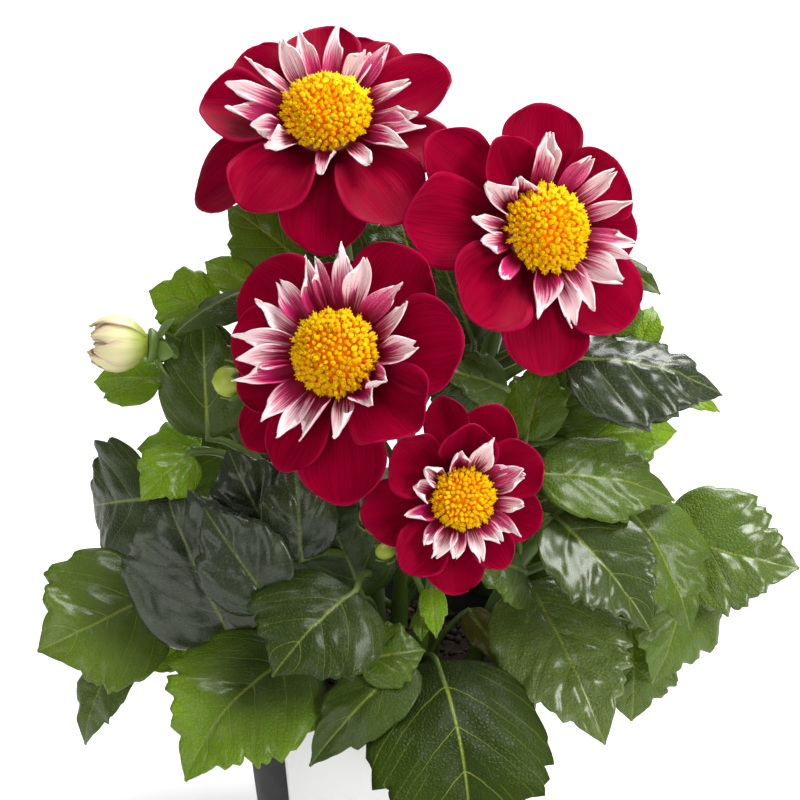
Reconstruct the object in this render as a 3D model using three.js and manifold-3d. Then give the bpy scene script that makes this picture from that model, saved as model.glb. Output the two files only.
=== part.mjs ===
// Potted collarette dahlia: a nursery pot of soil with seven leafy stems, four open blooms and a
// half-open bud. Millimetres, +Z up. The origin is the middle of the pot's underside, and -Y is the
// side that carries the label.
import * as THREE from 'three';
import { mergeVertices } from 'three/addons/utils/BufferGeometryUtils.js';
import Module from 'manifold-3d';

const wasm = await Module();
wasm.setup();

// Driving dimensions
const POT_FOOT_RADIUS = 50;
const POT_BODY_RADIUS = 61.6;
const POT_RIM_RADIUS = 65;
const POT_HEIGHT = 114;
const POT_LIP_HEIGHT = 8;
const POT_WALL = 1.5;
const POT_FLOOR = 1.8;
const POT_SEGMENTS = 28;
const SOIL_SEGMENTS = 14;
const STEM_SIDES = 6;
const FACET_TOLERANCE = 0.15;
const STEM_STEPS = 7;
const SOIL_LEVEL = 99;
const SOIL_RELIEF = 1.6;
const GAP = 0.3;
const LABEL_HALF_ANGLE = 43.5;
const LABEL_BOTTOM = 36;
const LABEL_TOP = 105;
const LABEL_THICKNESS = 0.7;
const STEM_FOOT_DEPTH = 78;
const BLADE_THICKNESS = 0.8;
const RIB_THICKNESS = 1.2;
const BLADE_ARCH = 0.08;
const BLADE_FOLD = 0.08;
const BLADE_WAVE = 0.06;
const BLADE_BROAD = 0.5;
const SIDES_FORWARD = 0.3;
const SIDES_START = 3;
const TOOTH_REACH = 1.08;
const NOTCH_REACH = 0.86;
const PETIOLE_RADIUS = 1.35;
const PETIOLE_RISE = 0.22;
const RAY_THICKNESS = 0.75;
const FLORET_THICKNESS = 0.7;
const RECEPTACLE_RADIUS = 14;
const DISC_RADIUS = 17.2;
const DISC_HEIGHT = 9.5;
const DISC_BASE = 6.2;
const DISC_WALL = 4.4;
const DRAIN_SLOTS = 6;
const DRAIN_RADIUS = 40;

// Basic solids
const vec = (p) => new THREE.Vector3(p[0], p[1], p[2]);

function solidFromFaces(points, faces) {
  const vertProperties = new Float32Array(points.length * 3);
  points.forEach((p, i) => vertProperties.set([p.x, p.y, p.z], i * 3));
  const triVerts = new Uint32Array(faces.flat());
  return new wasm.Manifold(new wasm.Mesh({ numProp: 3, vertProperties, triVerts }));
}

function solidFromGeometry(geometry) {
  const plain = geometry.clone();
  plain.deleteAttribute('normal');
  plain.deleteAttribute('uv');
  const merged = mergeVertices(plain, 1e-4);
  const position = merged.getAttribute('position');
  const index = merged.getIndex().array;
  const points = [];
  for (let i = 0; i < position.count; i += 1) {
    points.push(new THREE.Vector3().fromBufferAttribute(position, i));
  }
  const faces = [];
  for (let i = 0; i < index.length; i += 3) {
    const [a, b, c] = [index[i], index[i + 1], index[i + 2]];
    if (a !== b && b !== c && a !== c) {
      faces.push([a, b, c]);
    }
  }
  return solidFromFaces(points, faces);
}

function turned(profile, segments) {
  const lathe = new THREE.LatheGeometry(profile.map((p) => new THREE.Vector2(p[0], p[1])), segments);
  lathe.rotateX(Math.PI / 2);
  return solidFromGeometry(lathe);
}

function placed(solid, matrix) {
  return solid.transform(matrix.elements);
}

function fused(solids) {
  return wasm.Manifold.union(solids).simplify(FACET_TOLERANCE);
}

function toMesh(solid, name, color, roughness) {
  const mesh = solid.getMesh();
  const geometry = new THREE.BufferGeometry();
  geometry.setAttribute('position', new THREE.BufferAttribute(new Float32Array(mesh.vertProperties), 3));
  geometry.setIndex(new THREE.BufferAttribute(new Uint32Array(mesh.triVerts), 1));
  geometry.computeVertexNormals();
  const material = new THREE.MeshStandardMaterial({ color, roughness, metalness: 0 });
  const result = new THREE.Mesh(geometry, material);
  result.name = name;
  return result;
}

// A tapered tube through a row of points, closed at both ends
function tube(points, radii, sides) {
  const rings = [];
  let side = new THREE.Vector3();
  points.forEach((p, i) => {
    const before = points[Math.max(i - 1, 0)];
    const after = points[Math.min(i + 1, points.length - 1)];
    const along = after.clone().sub(before).normalize();
    if (i === 0) {
      side.set(1, 0, 0);
      if (Math.abs(along.x) > 0.8) {
        side.set(0, 1, 0);
      }
    }
    side = side.clone().addScaledVector(along, -side.dot(along)).normalize();
    const across = along.clone().cross(side);
    for (let k = 0; k < sides; k += 1) {
      const angle = (k / sides) * 2 * Math.PI;
      const ringPoint = p.clone().addScaledVector(side, radii[i] * Math.cos(angle));
      rings.push(ringPoint.addScaledVector(across, radii[i] * Math.sin(angle)));
    }
  });
  const faces = [];
  for (let i = 0; i < points.length - 1; i += 1) {
    for (let k = 0; k < sides; k += 1) {
      const next = (k + 1) % sides;
      const a = i * sides + k;
      const b = i * sides + next;
      const c = (i + 1) * sides + k;
      const d = (i + 1) * sides + next;
      faces.push([a, b, d], [a, d, c]);
    }
  }
  const last = (points.length - 1) * sides;
  for (let k = 1; k < sides - 1; k += 1) {
    faces.push([0, k + 1, k], [last, last + k, last + k + 1]);
  }
  return solidFromFaces(rings, faces);
}

// A thin closed sheet. surface(u, v) gives the upper side, u runs across from -1 to 1 and v along
// from 0 to 1, and both sides are split into triangles alike, mirrored about the middle column.
function normalAt(surface, u, v) {
  const step = 0.02;
  const across = surface(u + step, v).sub(surface(u - step, v));
  const along = surface(u, Math.min(v + step, 1)).sub(surface(u, Math.max(v - step, 0)));
  return across.cross(along).normalize();
}

function sheet(surface, grid, thickness) {
  const rows = grid.length;
  const columns = grid[0].length;
  const points = [];
  for (const row of grid) {
    for (const [u, v] of row) {
      points.push(surface(u, v));
    }
  }
  for (const row of grid) {
    for (const [u, v] of row) {
      points.push(surface(u, v).addScaledVector(normalAt(surface, u, v), -thickness(u, v)));
    }
  }
  const under = rows * columns;
  const at = (i, j) => i * columns + j;
  const faces = [];
  for (let i = 0; i < rows - 1; i += 1) {
    for (let j = 0; j < columns - 1; j += 1) {
      const [a, b, c, d] = [at(i, j), at(i, j + 1), at(i + 1, j), at(i + 1, j + 1)];
      const split = j < (columns - 1) / 2 ? [[a, b, c], [b, d, c]] : [[a, b, d], [a, d, c]];
      for (const [p, q, r] of split) {
        faces.push([p, q, r], [under + p, under + r, under + q]);
      }
    }
  }
  const wall = (p, q) => faces.push([p, under + p, under + q], [p, under + q, q]);
  for (let j = 0; j < columns - 1; j += 1) {
    wall(at(0, j), at(0, j + 1));
    wall(at(rows - 1, j + 1), at(rows - 1, j));
  }
  for (let i = 0; i < rows - 1; i += 1) {
    wall(at(i + 1, 0), at(i, 0));
    wall(at(i, columns - 1), at(i + 1, columns - 1));
  }
  return solidFromFaces(points, faces);
}

// Leaf blade: ovate outline, coarse teeth, arched midrib, edges folded up or down and waved
const ovate = (v, broad) => Math.sin(Math.PI * Math.max(v, 0.0001) ** broad) ** 0.9;

function leafSurface(leaf) {
  const base = vec(leaf.base);
  const chord = vec(leaf.tip).sub(base);
  const length = chord.length();
  const along = chord.clone().normalize();
  const faces = vec(leaf.faces);
  const normal = faces.addScaledVector(along, -faces.dot(along)).normalize();
  const side = along.clone().cross(normal);
  const arch = leaf.arch ?? BLADE_ARCH;
  const fold = leaf.fold ?? BLADE_FOLD;
  const sweep = leaf.sweep ?? 0;
  const broad = leaf.broad ?? BLADE_BROAD;
  return (u, v) => {
    const outline = ovate(v, broad);
    const half = Math.max((leaf.width / 2) * outline, v < 0.5 ? 1.1 : 0.5);
    const reach = Math.abs(u);
    const forward = Math.min(1, SIDES_START * v) * (1 - v * v);
    const s = v + SIDES_FORWARD * (leaf.width / length) * outline * reach * forward;
    const bow = 4 * v * (1 - v);
    const ripple = BLADE_WAVE * reach * half * Math.sin(9 * v + (u > 0 ? 1.3 : 0));
    const lift = arch * length * bow + fold * reach * half + ripple;
    return base.clone()
      .addScaledVector(along, length * s)
      .addScaledVector(side, u * half + sweep * length * bow)
      .addScaledVector(normal, lift);
  };
}

// Leaf with its petiole as one closed mesh. The petiole has rings of four points, and the blade's
// first row is the last of them: left, top, right, bottom.
function leafSolid(stemPoint, leaf) {
  const surface = leafSurface(leaf);
  const teeth = leaf.teeth ?? (leaf.width > 36 ? 4 : leaf.width > 20 ? 3 : 2);
  const rows = 2 * teeth;
  const radius = PETIOLE_RADIUS * (leaf.width < 20 ? 0.75 : 1);
  const foot = surface(0, 0);
  const span = foot.distanceTo(stemPoint);
  const knee = stemPoint.clone().lerp(foot, 0.5);
  knee.z += span * (leaf.rise ?? PETIOLE_RISE);
  const curve = new THREE.QuadraticBezierCurve3(stemPoint, knee, foot);
  const steps = span < 28 ? [0, 0.55] : [0, 0.4, 0.75];
  const normal = normalAt(surface, 0, 0.02);
  const side = surface(1, 0).sub(surface(-1, 0)).normalize();
  const points = [];
  for (const t of steps) {
    const center = curve.getPoint(t);
    const along = curve.getTangent(t);
    const ringSide = side.clone().addScaledVector(along, -side.dot(along)).normalize();
    const ringUp = ringSide.clone().cross(along).normalize();
    const r = radius * (1.2 - 0.25 * t);
    points.push(center.clone().addScaledVector(ringSide, -r), center.clone().addScaledVector(ringUp, r));
    points.push(center.clone().addScaledVector(ringSide, r), center.clone().addScaledVector(ringUp, -r));
  }
  points.push(foot.clone().addScaledVector(side, -1.2), foot.clone().addScaledVector(normal, 0.7));
  points.push(foot.clone().addScaledVector(side, 1.2), foot.clone().addScaledVector(normal, -1.5));
  const faces = [[0, 2, 1], [0, 3, 2]];
  for (let i = 0; i < steps.length; i += 1) {
    for (let k = 0; k < 4; k += 1) {
      const [p, q] = [i * 4 + k, i * 4 + ((k + 1) % 4)];
      faces.push([p, q + 4, p + 4], [p, q, q + 4]);
    }
  }
  const start = points.length - 4;
  let previous = [start, start + 1, start + 2, start, start + 3, start + 2];
  for (let i = 1; i <= rows; i += 1) {
    const v = i / rows;
    const isTooth = i % 2 === 1;
    const reach = i === rows ? 1 : (isTooth ? TOOTH_REACH : NOTCH_REACH);
    const forward = i === rows ? 0 : (isTooth ? 0.25 : -0.15) / rows;
    const row = [[-reach, v + forward], [0, v], [reach, v + forward]];
    const first = points.length;
    for (const [u, w] of row) {
      points.push(surface(u, w));
    }
    for (const [u, w] of row) {
      const thickness = BLADE_THICKNESS + (u === 0 ? RIB_THICKNESS * (1 - 0.6 * v) : 0);
      points.push(surface(u, w).addScaledVector(normalAt(surface, u, w), -thickness));
    }
    const current = [0, 1, 2, 3, 4, 5].map((k) => first + k);
    const [a, b, c, d, e, f] = previous;
    const [g, h, m, n, o, q] = current;
    faces.push([a, b, g], [b, h, g], [b, c, m], [b, m, h]);
    faces.push([d, n, e], [e, n, o], [e, q, f], [e, o, q]);
    if (i === 1) {
      faces.push([a, g, n], [c, q, m]);
    } else {
      faces.push([a, g, n], [a, n, d], [c, f, q], [c, q, m]);
    }
    previous = current;
  }
  const [a, b, c, d, e, f] = previous;
  faces.push([a, b, e], [a, e, d], [b, c, f], [b, f, e]);
  return solidFromFaces(points, faces);
}

// Small pointed bract, thick in the middle
function bract(base, tip, up, width) {
  const along = tip.clone().sub(base);
  const side = along.clone().cross(up).normalize();
  const normal = side.clone().cross(along).normalize();
  const middle = base.clone().addScaledVector(along, 0.42);
  const points = [
    base,
    middle.clone().addScaledVector(side, -width / 2),
    middle.clone().addScaledVector(normal, 1.6),
    middle.clone().addScaledVector(side, width / 2),
    middle.clone().addScaledVector(normal, 0.5),
    tip,
  ];
  const faces = [[0, 2, 1], [0, 3, 2], [0, 1, 4], [0, 4, 3], [5, 1, 2], [5, 2, 3], [5, 4, 1], [5, 3, 4]];
  return solidFromFaces(points, faces);
}

function bractRing(count, turn, inner, outer, width) {
  const solids = [];
  for (let i = 0; i < count; i += 1) {
    const angle = ((i + turn) / count) * 2 * Math.PI;
    const at = ([r, z]) => new THREE.Vector3(r * Math.cos(angle), r * Math.sin(angle), z);
    const outward = new THREE.Vector3(Math.cos(angle), Math.sin(angle), 0.6);
    solids.push(bract(at(inner), at(outer), outward, width));
  }
  return solids;
}

// Bloom frame: local +Z is where the bloom faces, local +Y is its upper side
function bloomMatrix(bloom) {
  const z = vec(bloom.faces).normalize();
  const x = new THREE.Vector3(0, 0, 1).cross(z).normalize();
  const y = z.clone().cross(x);
  return new THREE.Matrix4().makeBasis(x, y, z).setPosition(vec(bloom.head));
}

// Petal that runs outward from the bloom's axis, rising by a slope that changes along it
function petalSurface(petal) {
  const turn = THREE.MathUtils.degToRad(petal.angle);
  const start = THREE.MathUtils.degToRad(petal.slope[0]);
  const end = THREE.MathUtils.degToRad(petal.slope[1]);
  const roll = THREE.MathUtils.degToRad(petal.roll ?? 0);
  const outward = new THREE.Vector3(Math.cos(turn), Math.sin(turn), 0);
  const side = new THREE.Vector3(Math.sin(turn), -Math.cos(turn), 0);
  const up = new THREE.Vector3(0, 0, 1);
  const change = Math.abs(end - start) < 0.001 ? 0.001 : end - start;
  return (u, v) => {
    const w = v - petal.rounding * u * u * v * v;
    const slope = start + change * w;
    const r = petal.from[0] + (petal.length * (Math.sin(slope) - Math.sin(start))) / change;
    const z = petal.from[1] + (petal.length * (Math.cos(start) - Math.cos(slope))) / change;
    const half = (petal.width / 2) * petal.outline(v);
    const lift = petal.cup * Math.min(5 * v, 1) * half * u * u + Math.sin(roll * w) * u * half;
    return outward.clone().multiplyScalar(r - Math.sin(slope) * lift)
      .addScaledVector(up, z + Math.cos(slope) * lift)
      .addScaledVector(side, u * half * Math.cos(roll * w));
  };
}

const gridOf = (acrossValues, alongValues) => alongValues.map((v) => acrossValues.map((u) => [u, v]));

function rayOutline(v) {
  if (v < 0.66) {
    return 0.28 + 0.72 * Math.sin((v / 0.66) * (Math.PI / 2)) ** 1.1;
  }
  return Math.sqrt(1 - ((v - 0.66) / 0.41) ** 2);
}

function floretOutline(v) {
  return v < 0.5 ? 0.45 + 0.55 * Math.sin((v / 0.5) * (Math.PI / 2)) : 1 - 0.86 * ((v - 0.5) / 0.5) ** 1.6;
}

const ring = (inner, outer, low, high, segments) => turned(
  [[inner, low], [outer, low], [outer, high], [inner, high], [inner, low]],
  segments,
);

function rays(bloom) {
  const k = bloom.size;
  const solids = [ring(9 * k, (RECEPTACLE_RADIUS + 1) * k, GAP, 3.3, 9)];
  for (const [angle, length, width, low, high, cup, layer] of bloom.rays) {
    const surface = petalSurface({
      angle,
      length,
      width,
      slope: [low, high],
      cup,
      rounding: 0.1,
      from: [(RECEPTACLE_RADIUS - 1) * k, 1.4 + 1.2 * layer],
      outline: rayOutline,
    });
    const grid = gridOf([-1, -0.4, 0.4, 1], [0, 0.36, 0.7, 1]);
    solids.push(sheet(surface, grid, () => RAY_THICKNESS));
  }
  return fused(solids);
}

function seeded(seed) {
  let state = seed;
  return () => {
    state = (state * 1664525 + 1013904223) % 4294967296;
    return state / 4294967296;
  };
}

// Narrow collar floret: square at its foot, widest in the middle, with one pointed tip
function floretSolid(surface) {
  const under = (u, v) => surface(u, v).addScaledVector(normalAt(surface, u, v), -FLORET_THICKNESS);
  const top = [surface(-1, 0), surface(1, 0), surface(-1, 0.55), surface(0, 0.5), surface(1, 0.55)];
  const low = [under(-1, 0), under(1, 0), under(-1, 0.55), under(0, 0.5), under(1, 0.55)];
  const points = [...top, ...low, surface(0, 1)];
  const upper = [[0, 1, 3], [0, 3, 2], [1, 4, 3], [2, 3, 10], [3, 4, 10]];
  const faces = [];
  for (const [a, b, c] of upper) {
    const sunk = (k) => (k === 10 ? 10 : k + 5);
    faces.push([a, b, c], [sunk(a), sunk(c), sunk(b)]);
  }
  faces.push([0, 5, 6], [0, 6, 1]);
  faces.push([2, 7, 5], [2, 5, 0], [10, 7, 2]);
  faces.push([1, 6, 9], [1, 9, 4], [4, 9, 10]);
  return solidFromFaces(points, faces);
}

function collar(bloom) {
  const k = bloom.size;
  const random = seeded(bloom.seed);
  const solids = [ring(9 * k, (RECEPTACLE_RADIUS + 0.6) * k, 3.8, 5.8, 8)];
  for (const [angle, length, steep] of bloom.florets) {
    solids.push(floretSolid(petalSurface({
      angle,
      length,
      width: bloom.floretWidth * (0.85 + 0.3 * random()),
      slope: [12 + (steep ?? 0) * 0.4, 36 + (steep ?? 0) * 1.3 + 14 * (random() - 0.5)],
      cup: 0.2 + 0.25 * random(),
      roll: 40 * (random() - 0.5),
      rounding: 0,
      from: [(RECEPTACLE_RADIUS - 0.8) * k, 5.3],
      outline: floretOutline,
    })));
  }
  return fused(solids);
}

// Disc: a dome of florets, its surface raised in alternate points
function disc(bloom) {
  const k = bloom.size;
  const sides = 18;
  const levels = 6;
  const points = [new THREE.Vector3(0, 0, DISC_BASE)];
  const ringAt = (r, z, turn) => {
    for (let j = 0; j < sides; j += 1) {
      const angle = ((j + turn) / sides) * 2 * Math.PI;
      points.push(new THREE.Vector3(r * Math.cos(angle), r * Math.sin(angle), z));
    }
  };
  ringAt((RECEPTACLE_RADIUS - 2) * k, DISC_BASE, 0);
  for (let i = 0; i < levels; i += 1) {
    const lean = (i / (levels - 0.4)) * (Math.PI / 2);
    for (let j = 0; j < sides; j += 1) {
      const raised = (i + j) % 2 === 0 ? 1.1 : -0.7;
      const angle = ((j + 0.5 * (i % 2)) / sides) * 2 * Math.PI;
      const r = (DISC_RADIUS * k + raised * 0.8) * Math.cos(lean * 0.98);
      const z = DISC_BASE + DISC_WALL * k + (DISC_HEIGHT * k + raised) * Math.sin(lean);
      points.push(new THREE.Vector3(r * Math.cos(angle), r * Math.sin(angle), z));
    }
  }
  points.push(new THREE.Vector3(0, 0, DISC_BASE + (DISC_WALL + DISC_HEIGHT) * k + 0.4));
  const faces = [];
  const top = points.length - 1;
  const id = (level, j) => 1 + level * sides + (j % sides);
  for (let j = 0; j < sides; j += 1) {
    faces.push([0, id(0, j + 1), id(0, j)]);
    for (let level = 0; level < levels; level += 1) {
      const [a, b, c, d] = [id(level, j), id(level, j + 1), id(level + 1, j), id(level + 1, j + 1)];
      if (level % 2 === 1) {
        faces.push([a, b, c], [b, d, c]);
      } else {
        faces.push([a, b, d], [a, d, c]);
      }
    }
    faces.push([top, id(levels, j), id(levels, j + 1)]);
  }
  return solidFromFaces(points, faces);
}

// Green head below a bloom: a flat cup on the stem's end, with small bracts bent back
function receptacle(bloom) {
  const k = bloom.size;
  const r = RECEPTACLE_RADIUS * k;
  const cup = turned([[0, 0], [r * 0.95, 0], [r, -1.2], [r * 0.5, -5.5], [0, -8]].reverse(), 8);
  const bracts = bractRing(5, 0.3, [r * 0.4, -3.5], [r + 5 * k, -11 * k], 8 * k);
  return [cup, ...bracts].map((solid) => placed(solid, bloomMatrix(bloom)));
}

// Closed green bud on its stalk
function bud(stemPoint, item) {
  const axis = vec(item.faces).normalize();
  const x = new THREE.Vector3(0.3, 0.2, 1).cross(axis).normalize();
  const matrix = new THREE.Matrix4().makeBasis(x, axis.clone().cross(x), axis).setPosition(vec(item.at));
  const [r, h] = [item.radius, item.height];
  const profile = [[0, h], [r * 0.6, h * 0.84], [r, h * 0.42], [r * 0.75, h * 0.05], [0, -h * 0.15]];
  const solids = [placed(turned(profile.reverse(), 8), matrix)];
  for (const solid of bractRing(4, 0.4, [r * 0.5, -h * 0.1], [r * 1.25, h * 0.6], r * 0.9)) {
    solids.push(placed(solid, matrix));
  }
  const end = vec(item.at).addScaledVector(axis, h * 0.1);
  const neck = vec(item.at).addScaledVector(axis, -h * 0.5);
  const knee = stemPoint.clone().lerp(neck, 0.6);
  knee.z += 4;
  const curve = new THREE.CatmullRomCurve3([stemPoint, knee, neck, end]);
  solids.push(tube(curve.getPoints(4), [1.5, 1.3, 1.2, 1.2, 1.2], 4));
  return solids;
}

// Blooms. A ray is [angle, length, width, slope at its base, slope at its tip, cup, layer],
// and a collar floret is [angle, length, extra slope].
const blooms = [
  {
    name: 'bloom_1', head: [-24, 22, 319], faces: [-0.03, -0.56, 0.83], size: 1, seed: 11,
    rays: [
      [25, 39, 30, 8, 14, 0.22, 1], [62, 34, 30, -2, 4, 0.08, 0], [96, 33, 30, 6, 8, 0.2, 1],
      [136, 36, 30, 0, 6, 0.08, 0], [174, 37, 32, 8, 6, 0.2, 1], [205, 48, 30, -10, -40, 0.08, 0],
      [236, 38, 34, 8, -6, 0.3, 1], [271, 42, 34, -4, -28, 0.05, 0], [306, 42, 34, 8, -8, 0.2, 1],
      [346, 38, 30, -2, 2, 0.08, 0],
    ],
    floretWidth: 8,
    florets: [
      [92, 28], [66, 22], [45, 28], [28, 26], [2, 25], [-14, 27], [-31, 24], [-50, 24], [-84, 19],
      [222, 17, 10], [200, 19], [184, 27], [166, 29], [144, 27], [126, 28], [109, 26],
    ],
  },
  {
    name: 'bloom_2', head: [56, 5, 283], faces: [0.42, -0.8, 0.42], size: 1, seed: 23,
    rays: [
      [75, 37, 35, 0, 12, 0.1, 0], [26, 30, 32, 8, 20, 0.2, 1], [350, 30, 28, 0, 10, 0.08, 0],
      [304, 38, 36, 8, 14, 0.2, 1], [260, 43, 38, -2, 6, 0.1, 0], [212, 40, 38, 10, 26, 0.28, 1],
      [166, 46, 38, 0, 14, 0.15, 0], [134, 45, 30, -6, 2, 0.1, 0], [113, 29, 26, 10, 32, 0.3, 1],
    ],
    floretWidth: 8.5,
    florets: [
      [91, 25, 12], [72, 28], [54, 24], [31, 27], [9, 25], [-14, 27], [-30, 24], [-48, 27], [-68, 24],
      [-86, 30], [-106, 22], [208, 24, 10], [190, 22, 8], [168, 26, 4], [146, 24, 8], [122, 17, 30],
    ],
  },
  {
    name: 'bloom_3', head: [-18.6, -35, 247], faces: [-0.2, -0.84, 0.5], size: 1, seed: 37,
    rays: [
      [58, 37, 36, 2, 18, 0.1, 0], [95, 25, 26, -6, -8, 0.08, 0], [10, 38, 38, 8, 18, 0.22, 1],
      [322, 34, 37, 9, 32, 0.38, 1], [279, 44, 34, 0, 0, 0.08, 0], [250, 36, 24, 6, 4, 0.15, 1],
      [228, 37, 24, -4, -4, 0.08, 0], [204, 29, 24, -4, 0, 0.08, 0], [176, 29, 30, 8, 10, 0.2, 1],
      [142, 35, 36, 0, 6, 0.1, 0],
    ],
    floretWidth: 8.5,
    florets: [
      [90, 29], [74, 29], [56, 24], [25, 26, 6], [4, 24, 6], [-24, 20, 32], [-48, 20, 34], [-70, 25, 8],
      [-98, 23], [244, 28], [224, 26], [206, 27], [190, 26], [174, 27], [157, 24], [138, 25],
      [121, 26], [105, 28],
    ],
  },
  {
    name: 'bloom_4', head: [26.6, -45, 193], faces: [0.13, -0.92, 0.36], size: 0.7, seed: 51,
    rays: [
      [98, 31, 18, 0, 16, 0.15, 0], [64, 30, 22, 2, 16, 0.12, 0], [82, 24, 23, 18, 52, 0.4, 1],
      [26, 26, 24, 8, 22, 0.3, 1], [340, 24, 20, 0, 14, 0.12, 0], [300, 23, 16, 10, 20, 0.3, 1],
      [262, 28, 24, -2, 10, 0.1, 0], [228, 27, 22, 8, 18, 0.3, 1], [188, 30, 26, 0, 12, 0.12, 0],
      [142, 26, 26, 12, 30, 0.36, 1],
    ],
    floretWidth: 6.6,
    florets: [
      [98, 15, 30], [64, 20, 20], [33, 19, 10], [16, 20, 6], [-8, 19, 8], [-28, 18, 8], [-54, 15, 8],
      [-74, 18, 4], [-96, 18, 4], [-116, 18, 4], [222, 18, 8], [202, 17, 8], [166, 15, 12], [142, 15, 14],
    ],
  },
];

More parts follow.
